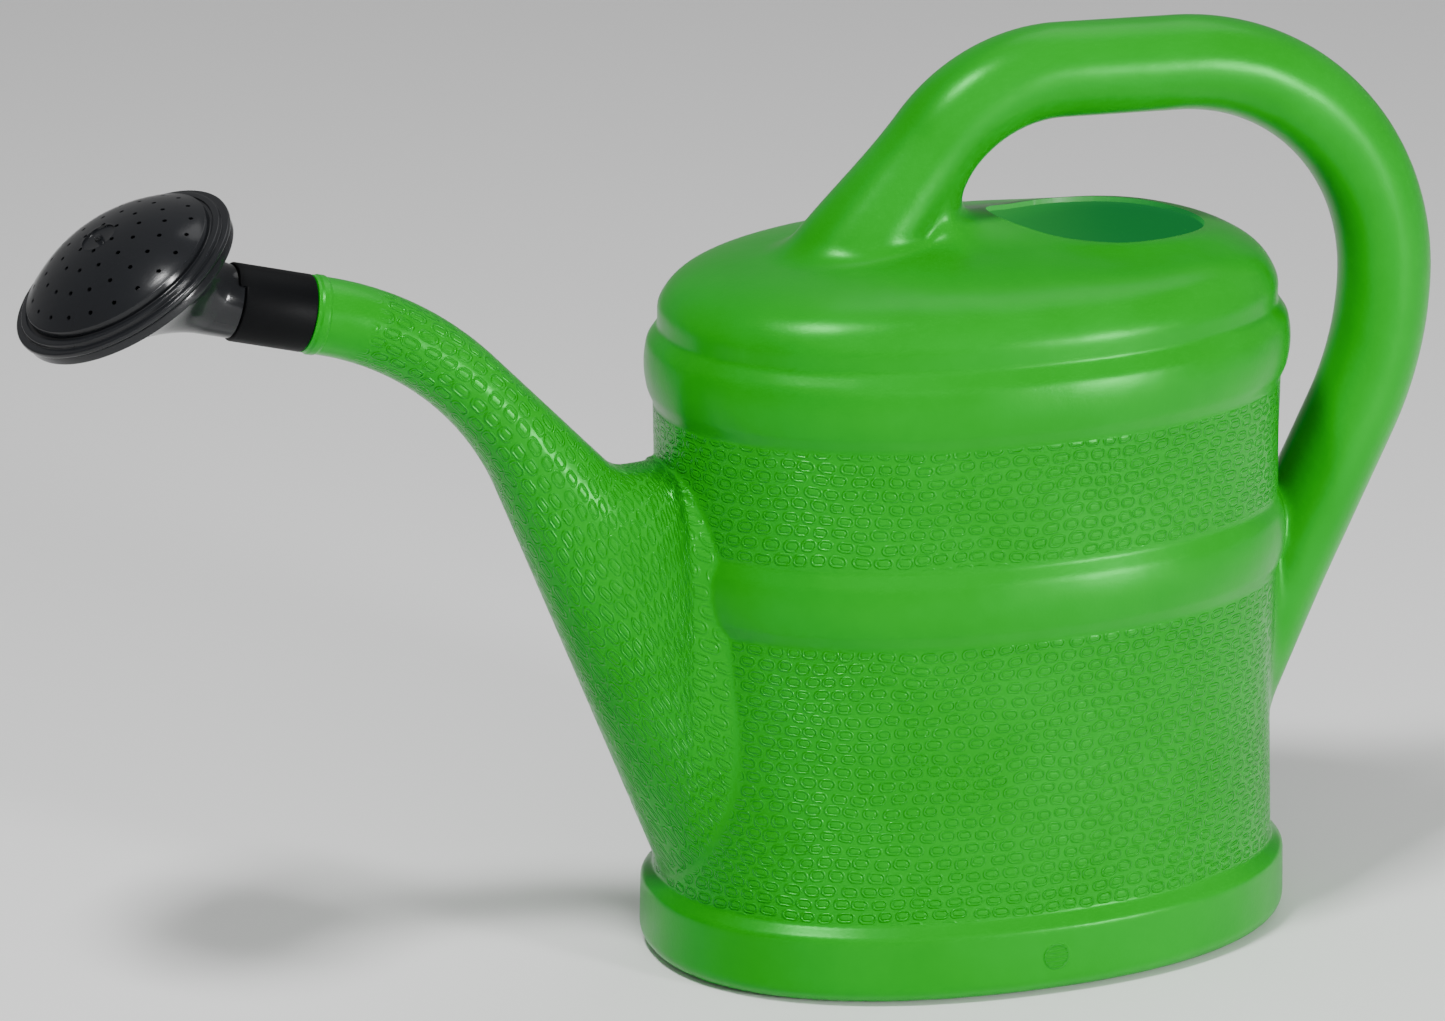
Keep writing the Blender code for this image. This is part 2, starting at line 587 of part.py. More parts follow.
def build_face(model, cutters, material):
    under = -FLANGE / 2
    skirt = CUP_RADIUS - CUP_LEDGE - CUP_WALL - GAP
    outer = dome_arc(0.0, DOME_RADIUS, 10)
    disc = [(0.0, outer[0][1] - DISC_SINK), (DISC_RADIUS - DISC_SINK, outer[0][1] - DISC_SINK * 1.6)]
    outer = disc + [(r, z) for r, z in outer if r > DISC_RADIUS]
    outer += [(DOME_RADIUS + 0.0003, DOME_EDGE - 0.0010), (STEP_RADIUS - 0.0012, STEP_TOP),
              (STEP_RADIUS, STEP_TOP - 0.0012), (STEP_RADIUS, FLANGE / 2),
              (RIM_RADIUS - 0.0005, FLANGE / 2), (RIM_RADIUS, FLANGE / 4), (RIM_RADIUS, -FLANGE / 4),
              (RIM_RADIUS - 0.0005, under)]
    lower = [(skirt, under), (skirt, under - CUP_RIM), (skirt - SKIRT_WALL, under - CUP_RIM),
             (skirt - SKIRT_WALL, DOME_EDGE - FACE_WALL * 2.2)]
    inner = dome_arc(FACE_WALL, DOME_RADIUS - FACE_WALL * 1.6, 8)[::-1]
    inner[-1] = (0.0, inner[-1][1])
    face = turned("rose_face", outer + lower + inner, model, material)
    bm = bmesh.new()
    rise = DOME_TOP - DOME_EDGE
    ball = (DOME_RADIUS ** 2 + rise ** 2) / (2 * rise)
    for ring_radius, count in HOLE_RINGS:
        lean = atan2(ring_radius, (ball ** 2 - ring_radius ** 2) ** 0.5)
        for i in range(count):
            turn = Matrix.Rotation(2 * pi * i / count, 4, "Z")
            place = turn @ Matrix.Translation((0.0, 0.0, DOME_TOP - ball))
            place = place @ Matrix.Rotation(lean, 4, "Y") @ Matrix.Translation((0.0, 0.0, ball))
            bmesh.ops.create_cone(bm, cap_ends=True, segments=6, radius1=HOLE_RADIUS, radius2=HOLE_RADIUS,
                                  depth=FACE_WALL * 4, matrix=place)
    cutter = add_object("face_holes", bm, cutters, cutter=True)
    boolean(face, cutter, "DIFFERENCE")
    return face, cutter


def empty(name, collection, parent=None, matrix=None):
    ob = bpy.data.objects.new(name, None)
    collection.objects.link(ob)
    ob.parent = parent
    if matrix:
        ob.matrix_basis = matrix
    return ob


def attach(ob, parent):
    ob.parent = parent


def centre_on_ground(root, objects):
    """Move the root so that the origin is at the middle of the footprint, on the ground."""
    bpy.context.view_layer.update()
    graph = bpy.context.evaluated_depsgraph_get()
    low = Vector((1.0, 1.0, 1.0))
    high = -low
    for ob in objects:
        seen = ob.evaluated_get(graph)
        for vertex in seen.data.vertices:
            place = ob.matrix_world @ vertex.co
            low = Vector(map(min, low, place))
            high = Vector(map(max, high, place))
    root.location = (-(low.x + high.x) / 2, -(low.y + high.y) / 2, -low.z)
    bpy.context.view_layer.update()


def build():
    model, cutters = start()
    black = plastic("black_moulding", BLACK, 0.30)
    can = build_can(model, cutters)
    sleeve, tab_cutter = build_sleeve(model, cutters, plastic("black_sleeve", BLACK, 0.38))
    cup = build_cup(model, black)
    face, hole_cutter = build_face(model, cutters, plastic("black_face", BLACK, 0.24))

    root = empty("root", model)
    tip_basis = Matrix((TIP_UP, Vector((0.0, 1.0, 0.0)), TIP_AXIS)).transposed().to_4x4()
    tip = empty("spout_tip_axis", model, root, Matrix.Translation(TIP) @ tip_basis)
    turn = empty("rose_turn_axis", model, tip, Matrix.Rotation(ROSE_TURN, 4, "Z"))
    rim, _, _ = rose_frame()
    rose = empty("rose_axis", model, turn, Matrix.Translation(rim) @ Matrix.Rotation(ROSE_TILT, 4, "Y"))
    attach(can, root)
    for cutter in cutters.objects:
        attach(cutter, root)
    attach(sleeve, tip)
    attach(tab_cutter, tip)
    attach(cup, turn)
    attach(face, rose)
    attach(hole_cutter, rose)
    centre_on_ground(root, (can, sleeve, cup, face))


build()
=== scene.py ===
import json
from math import atan2, cos, pi, radians, sin, tan

import bmesh
import bpy
import numpy as np
from mathutils import Matrix, Vector


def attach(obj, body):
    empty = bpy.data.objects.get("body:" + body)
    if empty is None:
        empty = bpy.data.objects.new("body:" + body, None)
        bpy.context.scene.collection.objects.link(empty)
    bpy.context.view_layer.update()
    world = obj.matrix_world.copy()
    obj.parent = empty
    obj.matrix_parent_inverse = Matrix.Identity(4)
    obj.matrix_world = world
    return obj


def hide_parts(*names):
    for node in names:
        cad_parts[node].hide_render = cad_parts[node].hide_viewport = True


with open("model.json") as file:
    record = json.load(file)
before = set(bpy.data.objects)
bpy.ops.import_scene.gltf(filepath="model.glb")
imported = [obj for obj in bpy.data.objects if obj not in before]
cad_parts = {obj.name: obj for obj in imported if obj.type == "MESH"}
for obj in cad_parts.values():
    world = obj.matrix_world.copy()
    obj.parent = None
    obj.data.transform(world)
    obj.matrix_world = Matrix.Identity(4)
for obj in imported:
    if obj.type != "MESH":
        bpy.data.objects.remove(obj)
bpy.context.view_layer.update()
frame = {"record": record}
joints = {joint["name"]: joint for joint in frame["record"]["behaviour"]["joints"]}

# what a user would change on the tank: half-lengths along X and heights, in metres
tank = {
    "wallHalf": 0.1035,  # half-length of the plain wall
    "widthDrop": 0.036,  # half-width = half-length - widthDrop
    "plan": 2.18,  # exponent of the plan section: 2 is an ellipse
    "waist": 0.0010,  # how far the lower panel draws in
    "bandProud": 0.0027,  # how far the two bands stand out of the wall
    "bandRound": 0.006,
    "bandCrown": 0.030,  # bend radius of their middles
    "baseProud": 0.0048,  # the base band stands out further
    "baseBandTop": 0.0245,
    "footRound": 0.0060,
    "footRim": 0.0130,  # width of the flat foot ring
    "recess": 0.0030,  # the bottom inside the foot ring is pushed up
    "midBand": (0.1185, 0.1435),
    "topBand": (0.1835, 0.2080),
    "lidHalf": 0.1020,
    "lidFoot": 0.2140,  # height where the dome begins
    "lidRise": 0.0220,
    # the dome's section: shares of the lid's half-length and of its rise
    "lidShape": ((0.996, 0.08), (0.983, 0.19), (0.958, 0.33), (0.920, 0.46), (0.86, 0.58), (0.78, 0.68),
                 (0.66, 0.78), (0.50, 0.875), (0.25, 0.97), (0.0, 1.0)),
    "rearLift": 0.0016,  # the lid stands this much higher towards the handle's bow
    "saddle": 0.0040,  # and rises this much between the front limb and the mouth
    "skin": 0.0016,  # wall of the moulding
}
# what a user would change on the fill mouth
mouth = {
    "x": 0.0425,
    "length": 0.073,
    "width": 0.056,
    "taper": 0.30,  # how much narrower the end towards the handle's front limb is
    "lip": 0.0013,
    "sides": 144,
    "low": 0.2055,  # the cut runs between these heights
    "high": 0.2590,
}
# what a user would change on the handle
handle = {
    "radius": 0.0152,
    "top": 0.2838,  # height of the grip's centreline
    "rootX": -0.0482,  # where the centreline leaves the lid
    "rootZ": 0.2185,
    "slope": radians(52.0),
    "bend": 0.052,
    "bowX": 0.1445,  # reach of the rear limb's centreline
    "bowRadius": 0.0765,  # from the grip round to the rear limb
    "rearRadius": 0.110,  # from the rear limb round to its foot
    "rearSlope": radians(25.4),
    "rearRootX": 0.0880,
    "frontFlare": 1.30,  # radius at the front root, as a multiple of the grip's
    "rearFlare": 1.08,
    "flareLength": 0.060,  # the flare fades out over this length
    "frontFillet": 0.0055,  # soft run-out where the front limb meets the lid
    "innerFillet": 0.0140,  # and more of it on the side of the grip
    "lean": 0.0016,  # the grip's front end is this much higher
    "rearFillet": 0.0050,
}
# what a user would change on the spout
spout = {
    "tip": Vector((-0.2200, 0.0, 0.2284)),
    "tipRise": radians(14.4),
    "shoulder": 0.0122,
    "nipple": 0.0103,  # radius of the end that the sleeve pushes over
    "nippleLength": 0.0160,
    "bead": 0.0004,  # how proud the ring beside the sleeve stands
    "cut": 0.0030,  # the blown skin ends this far behind the shoulder, under the bead
    "rootTop": 0.1670,  # height of the upper edge at the wall
    "rootFoot": 0.0280,  # height of the lower edge at the wall
    "rootHalf": 0.0255,
    "flare": 0.0050,  # it widens by this much more at the wall
    "flareReach": 0.045,  # the flare starts this far from the wall
    "rootBlunt": 3.4,  # exponent of the upper half of the root's section: 2 is an ellipse
    "upperSlope": radians(46),
    "lowerSlope": radians(68),
    "notchReach": 0.0155,  # the upper edge runs level this far from the wall
    "notchBend": 0.012,
    "upperBend": 0.110,
    "lowerBend": 0.086,
    "fillet": 0.0010,
}
# what a user would change on the rose
rose = {
    "gap": 0.0003,
    "sleeve": 0.0122,
    "neckStep": 0.0008,  # the cup's neck is this much slimmer
    "length": 0.0235,
    "tab": 0.0022,  # how far its tab overhangs the neck
    "tabHalf": radians(51),  # half of the tab's arc
    "spigot": 0.0055,  # the cup's end inside the sleeve
    "neckWall": 0.0015,
    "mitre": radians(20),  # tilt of the line where the funnel meets the neck
    "neckEnd": 0.0305,  # middle of that line, from the sleeve's open end
    "tilt": radians(44),  # from the sleeve's axis to the rose's
    "turn": radians(-7.5),  # the cup is turned this far in the sleeve
    "rimAlong": 0.0566,  # the two axes cross here
    "rimRaise": 0.0050,  # from there up to the middle of the face's rim
    "rim": 0.0376,  # outer radius of the face's flange
    "flange": 0.0018,
    "cup": 0.0366,
    "cupRim": 0.0032,
    "ledge": 0.0016,  # the funnel starts this much inside it
    "funnelDepth": 0.0120,  # the funnel draws in round this point
    "funnelShift": 0.0075,
    "funnelRadius": 0.0145,
    "wall": 0.0016,
    "skirt": 0.0014,  # the face's ring that snaps into the cup
    "step": 0.0352,  # radius of the ring between flange and dome
    "stepTop": 0.0026,
    "dome": 0.0315,
    "domeEdge": 0.0047,
    "domeTop": 0.0153,
    "disc": 0.0060,
    "discSink": 0.0009,
    "faceWall": 0.0014,
    "hole": 0.00075,
    # rings of holes: radius, count and turn in degrees
    "rings": ((0.0066, 6, 0.0), (0.0135, 12, 12.0), (0.0210, 18, 0.0), (0.0280, 21, 0.0)),
    "sides": 144,
}
# fineness of the blown skin's mesh; fine is the spacing of the levels next to an edge
grid = {"step": 0.0015, "fine": 0.0007}

tip = spout["tip"]
tipAxis = Vector((-cos(spout["tipRise"]), 0.0, sin(spout["tipRise"])))
tipUp = Vector((sin(spout["tipRise"]), 0.0, cos(spout["tipRise"])))
shift = Vector(joints["rose_turn"]["pos_m"]) - tip  # from the tank's middle to the record's origin


def smooth(t):
    t = np.clip(t, 0.0, 1.0)
    return t * t * (3 - 2 * t)


def roundCorners(corners, steps=10):
    # corners are (a, b, bend radius); returns points of the line with its bends turned into arcs
    points = [Vector(corners[0][:2])]
    for before, here, after in zip(corners, corners[1:], corners[2:]):
        spot = Vector(here[:2])
        back = (Vector(before[:2]) - spot).normalized()
        ahead = (Vector(after[:2]) - spot).normalized()
        half = (pi - back.angle(ahead)) / 2
        if here[2] <= 0 or half < 1e-4:
            points.append(spot)
            continue
        centre = spot + (back + ahead).normalized() * (here[2] / cos(half))
        start = spot + back * here[2] * tan(half) - centre
        sweep = start.angle_signed(spot + ahead * here[2] * tan(half) - centre)
        for i in range(steps + 1):
            turn = Matrix.Rotation(-sweep * i / steps, 2)
            points.append(centre + turn @ start)
    points.append(Vector(corners[-1][:2]))
    return np.array(points)


def nearest(px, pz, line):
    # distance from points to a polyline, and how far along it the nearest place is
    a = line[:-1]
    d = line[1:] - a
    size = np.hypot(d[:, 0], d[:, 1])
    start = np.concatenate(([0.0], np.cumsum(size)[:-1]))
    shape = px.shape
    px = px.ravel()
    pz = pz.ravel()
    best = np.full(px.shape, 9.0)
    run = np.zeros(px.shape)
    for low in range(0, len(px), 20000):
        part = slice(low, low + 20000)
        ox = px[part, None] - a[None, :, 0]
        oz = pz[part, None] - a[None, :, 1]
        t = np.clip((ox * d[:, 0] + oz * d[:, 1]) / (size * size), 0.0, 1.0)
        gap = (ox - t * d[:, 0]) ** 2 + (oz - t * d[:, 1]) ** 2
        k = gap.argmin(1)
        rows = np.arange(len(k))
        best[part] = np.sqrt(gap[rows, k])
        run[part] = start[k] + t[rows, k] * size[k]
    return best.reshape(shape), run.reshape(shape)


def resample(line, gap):
    size = np.hypot(*(line[1:] - line[:-1]).T)
    run = np.concatenate(([0.0], np.cumsum(size)))
    spots = np.linspace(0.0, run[-1], max(2, int(run[-1] / gap)))
    return np.stack([np.interp(spots, run, line[:, 0]), np.interp(spots, run, line[:, 1])], 1)


def fillet(a, b, size):
    # union of two distance fields with a soft run-out between them
    h = np.maximum(size - np.abs(a - b), 0.0) / size
    return np.minimum(a, b) - h * h * size / 4


def tankProfile():
    # section of the tank: half-length against height
    wall = tank["wallHalf"]
    base = wall + tank["baseProud"]
    foot = base - tank["footRound"] - tank["footRim"]
    low, high = tank["midBand"]
    under, seam = tank["topBand"]
    top = tank["baseBandTop"]
    corners = [(0.0, tank["recess"], 0), (foot - tank["recess"], tank["recess"], 0.002), (foot, 0.0, 0.002),
               (base, 0.0, tank["footRound"]), (base - 0.0004, top - 0.0022, 0.0026),
               (wall + 0.0003, top + 0.0014, 0.0016), (wall - tank["waist"], (top + low) / 2, 0.3),
               (wall, low, 0.0012)]
    corners += bandCorners(low, high, 0.0046)
    corners += [(wall, high, 0.0010), (wall - 0.0003, (high + under) / 2, 0.2), (wall, under, 0.0012)]
    corners += bandCorners(under, seam, 0.0044)
    corners += [(tank["lidHalf"], seam + 0.0004, 0.0008), (tank["lidHalf"], tank["lidFoot"], 0.0)]
    wallLine = roundCorners(corners)
    lid = [(tank["lidHalf"] * s, tank["lidFoot"] + tank["lidRise"] * r) for s, r in tank["lidShape"]]
    lid = softCurve([wallLine[-1]] + lid, 12)
    return np.concatenate([wallLine, lid[1:]])


def bandCorners(low, high, shoulder):
    # the section of one band, crowned between its two rounded edges
    proud = tank["wallHalf"] + tank["bandProud"]
    edge = tank["bandRound"]
    return [(proud - 0.0008, low + 0.0046, edge), (proud + 0.0006, (low + high) / 2, tank["bandCrown"]),
            (proud - 0.0008, high - shoulder, edge)]


def softCurve(points, steps):
    # a Catmull-Rom curve through the points
    p = [np.array(q, float) for q in points]
    p = [2 * p[0] - p[1]] + p + [np.array((-p[-2][0], p[-2][1]))]
    out = []
    for a, b, c, d in zip(p, p[1:], p[2:], p[3:]):
        for i in range(steps):
            t = i / steps
            out.append(0.5 * (2 * b + (c - a) * t + (2 * a - 5 * b + 4 * c - d) * t * t
                              + (3 * b - a - 3 * c + d) * t ** 3))
    return np.array(out + [p[-2]])


class Table:
    # signed distance to the tank's section, looked up bilinearly
    def __init__(self, line, step=0.0004):
        self.step = step
        self.low = np.array((-0.004, -0.012))
        xs = np.arange(self.low[0], 0.135, step)
        zs = np.arange(self.low[1], 0.262, step)
        gx, gz = np.meshgrid(xs, zs, indexing="ij")
        gap, _ = nearest(gx, gz, resample(line, 0.0009))
        inside = np.zeros(gx.shape, bool)
        outline = np.concatenate([line, [(-0.01, line[-1][1]), (-0.01, line[0][1])]])
        ends = np.roll(outline, -1, 0)
        for (ax, az), (bx, bz) in zip(outline, ends):
            if az == bz:
                continue
            cross = ((az > gz) != (bz > gz)) & (gx < (bx - ax) * (gz - az) / (bz - az) + ax)
            inside ^= cross
        self.values = np.where(inside, -gap, gap)

    def __call__(self, x, z):
        u = np.clip((x - self.low[0]) / self.step, 0, self.values.shape[0] - 1.001)
        v = np.clip((z - self.low[1]) / self.step, 0, self.values.shape[1] - 1.001)
        i = u.astype(int)
        j = v.astype(int)
        u = u - i
        v = v - j
        t = self.values
        near = t[i, j] * (1 - v) + t[i, j + 1] * v
        far = t[i + 1, j] * (1 - v) + t[i + 1, j + 1] * v
        return near * (1 - u) + far * u


def planReach(x, y):
    # half-length of the plan section through a point
    n = tank["plan"]
    half = tank["lidHalf"]
    drop = tank["widthDrop"]
    x = np.abs(x)
    y = np.abs(y)
    low = np.full(np.broadcast(x, y).shape, 1e-4)
    high = np.full(low.shape, 0.32)
    for _ in range(26):
        mid = (low + high) / 2
        width = np.where(mid > half, mid - drop, mid * (half - drop) / half)
        outside = (x / mid) ** n + (y / width) ** n > 1
        low = np.where(outside, mid, low)
        high = np.where(outside, high, mid)
    return (low + high) / 2


def handleLine():
    slope = handle["slope"]
    top = handle["top"]
    front = top + handle["lean"]
    corner = handle["rootX"] + (front - handle["rootZ"]) / tan(slope)
    bow = handle["bowRadius"]
    rear = handle["rearRadius"]
    lean = handle["rearSlope"]
    footX = handle["bowX"] - rear + rear * cos(lean)
    footZ = top - bow - rear * sin(lean)
    run = (footX - handle["rearRootX"]) / sin(lean)
    back = Vector((-cos(slope), -sin(slope))) * 0.012
    corners = [(handle["rootX"] + back.x, handle["rootZ"] + back.y, 0), (corner, front, handle["bend"]),
               (handle["bowX"] - bow, top, 0)]
    line = [tuple(p) for p in roundCorners(corners, 40)]
    for i in range(1, 61):
        a = pi / 2 * (1 - i / 60)
        line.append((handle["bowX"] - bow + bow * cos(a), top - bow + bow * sin(a)))
    for i in range(1, 31):
        a = -lean * i / 30
        line.append((handle["bowX"] - rear + rear * cos(a), top - bow + rear * sin(a)))
    line.append((footX - sin(lean) * run, footZ - cos(lean) * run))
    return resample(np.array(line), 0.0012)


def meet(p, pAngle, q, qAngle):
    # where two lines in the plane Y = 0 cross; angles from -X towards +Z
    d = Vector((-cos(pAngle), 0.0, sin(pAngle)))
    e = Vector((-cos(qAngle), 0.0, sin(qAngle)))
    gap = q - p
    return p + d * ((gap.x * e.z - gap.z * e.x) / (d.x * e.z - d.z * e.x))


def spoutSections(count=420):
    # upper and lower ends of the spout's sections, with their half-widths and bluntness
    wall = -tank["wallHalf"]
    notch = Vector((wall - spout["notchReach"], 0.0, spout["rootTop"]))
    lower = Vector((wall, 0.0, spout["rootFoot"]))
    tipTop = tip + tipUp * spout["shoulder"]
    tipLow = tip - tipUp * spout["shoulder"]
    upperCorner = meet(notch, spout["upperSlope"], tipTop, spout["tipRise"])
    lowerCorner = meet(lower, spout["lowerSlope"], tipLow, spout["tipRise"])
    topEnd = tipTop - tipAxis * 0.006
    lowEnd = tipLow - tipAxis * 0.006
    top = roundCorners([(wall, spout["rootTop"], 0), (notch.x, notch.z, spout["notchBend"]),
                        (upperCorner.x, upperCorner.z, spout["upperBend"]), (topEnd.x, topEnd.z, 0)], 60)
    low = roundCorners([(lower.x, lower.z, 0), (lowerCorner.x, lowerCorner.z, spout["lowerBend"]),
                        (lowEnd.x, lowEnd.z, 0)], 90)
    u = np.linspace(0.0, 1.0, count)
    high = pick(top, u ** 2.6)
    foot = pick(low, u)
    width = spout["shoulder"] + (spout["rootHalf"] - spout["shoulder"]) * (1 - u) ** 1.25
    blunt = 2 + (spout["rootBlunt"] - 2) * (1 - u) ** 2
    rows = np.column_stack([high, foot, width, blunt])
    first = rows[0].copy()
    first[0] += 0.030
    first[2] += 0.0080
    first[3] -= 0.0080 * tan(spout["lowerSlope"])
    first[4] += 0.0015
    last = rows[-1].copy()
    last[[0, 2]] += tipAxis.x * 0.016
    last[[1, 3]] += tipAxis.z * 0.016
    spans = [first + (rows[0] - first) * t for t in np.linspace(0, 1, 30, endpoint=False)]
    ends = [rows[-1] + (last - rows[-1]) * t for t in np.linspace(0, 1, 30)[1:]]
    rows = np.array(spans + list(rows) + ends)
    outside = wall - (rows[:, 0] + rows[:, 2]) / 2
    rows[:, 4] += spout["flare"] * np.maximum(0.0, 1 - outside / spout["flareReach"]) ** 2
    return rows


def pick(line, fraction):
    run = np.concatenate(([0.0], np.cumsum(np.hypot(*(line[1:] - line[:-1]).T))))
    want = fraction * run[-1]
    return np.stack([np.interp(want, run, line[:, 0]), np.interp(want, run, line[:, 1])], 1)


class Spout:
    def __init__(self):
        self.rows = spoutSections()
        self.index = np.arange(len(self.rows), dtype=float)
        middle = (self.rows[:, :2] + self.rows[:, 2:4]) / 2
        self.run = np.concatenate(([0.0], np.cumsum(np.hypot(*(middle[1:] - middle[:-1]).T))))

    def column(self, k, i):
        return np.interp(i, self.index, self.rows[:, k])

    def place(self, x, z):
        # which section a point of the plane Y = 0 lies on, and how high it is on that section
        low = np.zeros(x.shape)
        high = np.full(x.shape, float(len(self.rows) - 1))
        for _ in range(14):
            mid = (low + high) / 2
            ax, az, bx, bz = (self.column(k, mid) for k in range(4))
            before = (bx - ax) * (z - az) - (bz - az) * (x - ax) < 0
            low = np.where(before, mid, low)
            high = np.where(before, high, mid)
        i = (low + high) / 2
        ax, az, bx, bz = (self.column(k, i) for k in range(4))
        half = np.hypot(ax - bx, az - bz) / 2
        v = ((x - (ax + bx) / 2) * (ax - bx) + (z - (az + bz) / 2) * (az - bz)) / (2 * half)
        return i, v, half

    def distance(self, placed, y):
        i, v, half = placed
        wide = self.column(4, i)
        n = np.where(v > 0, self.column(5, i), 2.0)
        p = np.abs(v) / half + 1e-6
        q = np.abs(y) / wide + 1e-6
        f = (p ** n + q ** n) ** (1 / n)
        slope = np.hypot((p / f) ** (n - 1) / half, (q / f) ** (n - 1) / wide)
        return np.where(i < 0.5, 0.03, (f - 1) / slope)


class Skin:
    def __init__(self):
        self.section = Table(tankProfile())
        self.handle = handleLine()
        self.length = np.hypot(*(self.handle[1:] - self.handle[:-1]).T).sum()
        self.spout = Spout()

    def tube(self, gap, run, y):
        front = (handle["frontFlare"] - 1) * (1 - smooth((run - 0.012) / handle["flareLength"]))
        rear = (handle["rearFlare"] - 1) * (1 - smooth((self.length - run) / handle["flareLength"]))
        return np.hypot(gap, y) - handle["radius"] * (1 + front + rear)

    def lift(self, x, y):
        # how the lid departs from a plain dome: rear shoulder, saddle before the mouth, the mouth's lip
        rear = tank["rearLift"] * smooth((x - 0.030) / 0.040)
        saddle = tank["saddle"] * np.exp(-((x - 0.008) / 0.015) ** 2 - (y / 0.020) ** 2)
        out = np.hypot((x - mouth["x"] - 0.004) / (mouth["length"] / 2), y / (mouth["width"] / 2))
        lip = mouth["lip"] * np.exp(-((out - 1.0) / 0.24) ** 2) * smooth((x - 0.005) / 0.03)
        return rear + saddle + lip

    def join(self, x, y, z, reach, limb, sections):
        body = self.section(reach, z - self.lift(x, y) * smooth((z - tank["lidFoot"]) / 0.012))
        tube = self.tube(*limb, y)
        size = handle["rearFillet"]
        size = size + (handle["frontFillet"] - handle["rearFillet"]) * smooth((0.06 - x) / 0.05)
        size = size + handle["innerFillet"] * smooth((x + 0.022) / 0.012) * smooth((0.030 - x) / 0.02)
        body = fillet(body, tube, size)
        return fillet(body, self.spout.distance(sections, y), spout["fillet"])

    def __call__(self, x, y, z):
        return self.join(x, y, z, planReach(x, y), nearest(x, z, self.handle), self.spout.place(x, z))


def levels():
    edges = [0.0, 0.0035, tank["baseBandTop"], *tank["midBand"], *tank["topBand"]]
    z = -0.0031
    out = []
    while z < 0.3035:
        out.append(z)
        near = min(abs(z - edge) for edge in edges)
        z += grid["fine"] + (grid["step"] - grid["fine"]) * float(smooth((near - 0.003) / 0.004))
    return np.array(out)


def netSkin(skin):
    # surface net of the half y >= 0; cells across y = 0 put their points on that plane
    h = grid["step"]
    xs = np.arange(-0.2330, 0.1650, h)
    ys = (np.arange(52) - 0.5) * h
    zs = levels()
    gx, gz = np.meshgrid(xs, zs, indexing="ij")
    reach = planReach(xs[:, None], ys[None, :])
    gap, run = nearest(gx, gz, skin.handle)
    i, v, half = skin.spout.place(gx, gz)
    field = np.empty((len(xs), len(ys), len(zs)), np.float32)
    for k, y in enumerate(ys):
        field[:, k, :] = skin.join(gx, y, gz, reach[:, k, None] + 0 * gx, (gap, run), (i, v, half))
    inside = field < 0
    count = np.zeros(tuple(n - 1 for n in field.shape), np.int8)
    corners = [(a, b, c) for a in (0, 1) for b in (0, 1) for c in (0, 1)]
    nx, ny, nz = count.shape
    for a, b, c in corners:
        count += inside[a:a + nx, b:b + ny, c:c + nz]
    cells = np.argwhere((count > 0) & (count < 8))
    ids = np.full(count.shape, -1, np.int32)
    ids[tuple(cells.T)] = np.arange(len(cells))
    total = np.zeros((len(cells), 3))
    hits = np.zeros(len(cells))
    axes = (xs, ys, zs)
    for a, b in [(p, q) for p in corners for q in corners if p < q and sum(np.abs(np.subtract(p, q))) == 1]:
        ia = tuple((cells + a).T)
        ib = tuple((cells + b).T)
        fa = field[ia]
        fb = field[ib]
        cross = (fa < 0) != (fb < 0)
        t = np.where(cross, fa / np.where(cross, fa - fb, 1.0), 0.0)
        for axis in range(3):
            pa = axes[axis][ia[axis]]
            pb = axes[axis][ib[axis]]
            total[:, axis] += np.where(cross, pa + (pb - pa) * t, 0.0)
        hits += cross
    points = total / hits[:, None]
    faces = []
    for axis in range(3):
        step = [0, 0, 0]
        step[axis] = 1
        low = inside[tuple(slice(0, n - s) for n, s in zip(inside.shape, step))]
        high = inside[tuple(slice(s, n) for n, s in zip(inside.shape, step))]
        p, q = [k for k in range(3) if k != axis]
        where = np.argwhere(low != high)
        good = (where[:, p] > 0) & (where[:, q] > 0)
        good &= (where[:, p] < inside.shape[p] - 1) & (where[:, q] < inside.shape[q] - 1)
        where = where[good]
        flip = inside[tuple(where.T)]
        ring = []
        for dp, dq in ((-1, -1), (0, -1), (0, 0), (-1, 0)):
            cell = where.copy()
            cell[:, p] += dp
            cell[:, q] += dq
            ring.append(ids[tuple(cell.T)])
        ring = np.stack(ring, 1)
        if axis == 1:
            flip = ~flip
        ring = np.where(flip[:, None], ring, ring[:, ::-1])
        faces.append(ring)
    return points, np.concatenate(faces), cells[:, 1] == 0


def relax(points, faces, middle, share):
    pairs = np.concatenate([faces[:, [k, (k + 1) % 4]] for k in range(4)])
    pairs = np.concatenate([pairs, pairs[:, ::-1]])
    total = np.zeros_like(points)
    for axis in range(3):
        total[:, axis] = np.bincount(pairs[:, 0], points[pairs[:, 1], axis], len(points))
    hits = np.bincount(pairs[:, 0], minlength=len(points))
    moved = points + (total / hits[:, None] - points) * share
    moved[middle, 1] = 0.0
    return moved


def settle(points, middle, skin, limit=0.0012):
    # one Newton step on to the surface
    e = 0.00025
    x, y, z = points.T
    value = skin(x, y, z)
    gradient = np.stack([skin(x + e, y, z) - skin(x - e, y, z), skin(x, y + e, z) - skin(x, y - e, z),
                         skin(x, y, z + e) - skin(x, y, z - e)], 1) / (2 * e)
    size = np.maximum((gradient ** 2).sum(1), 0.2)
    move = -gradient * (value / size)[:, None]
    far = np.linalg.norm(move, axis=1)
    move *= np.minimum(1.0, limit / np.maximum(far, 1e-9))[:, None]
    out = points + move
    out[middle, 1] = 0.0
    return out


def mirrored(points, faces, middle):
    other = np.arange(len(points))
    sides = np.flatnonzero(~middle)
    other[sides] = len(points) + np.arange(len(sides))
    twin = points[sides] * (1, -1, 1)
    return np.concatenate([points, twin]), np.concatenate([faces, other[faces][:, ::-1]])


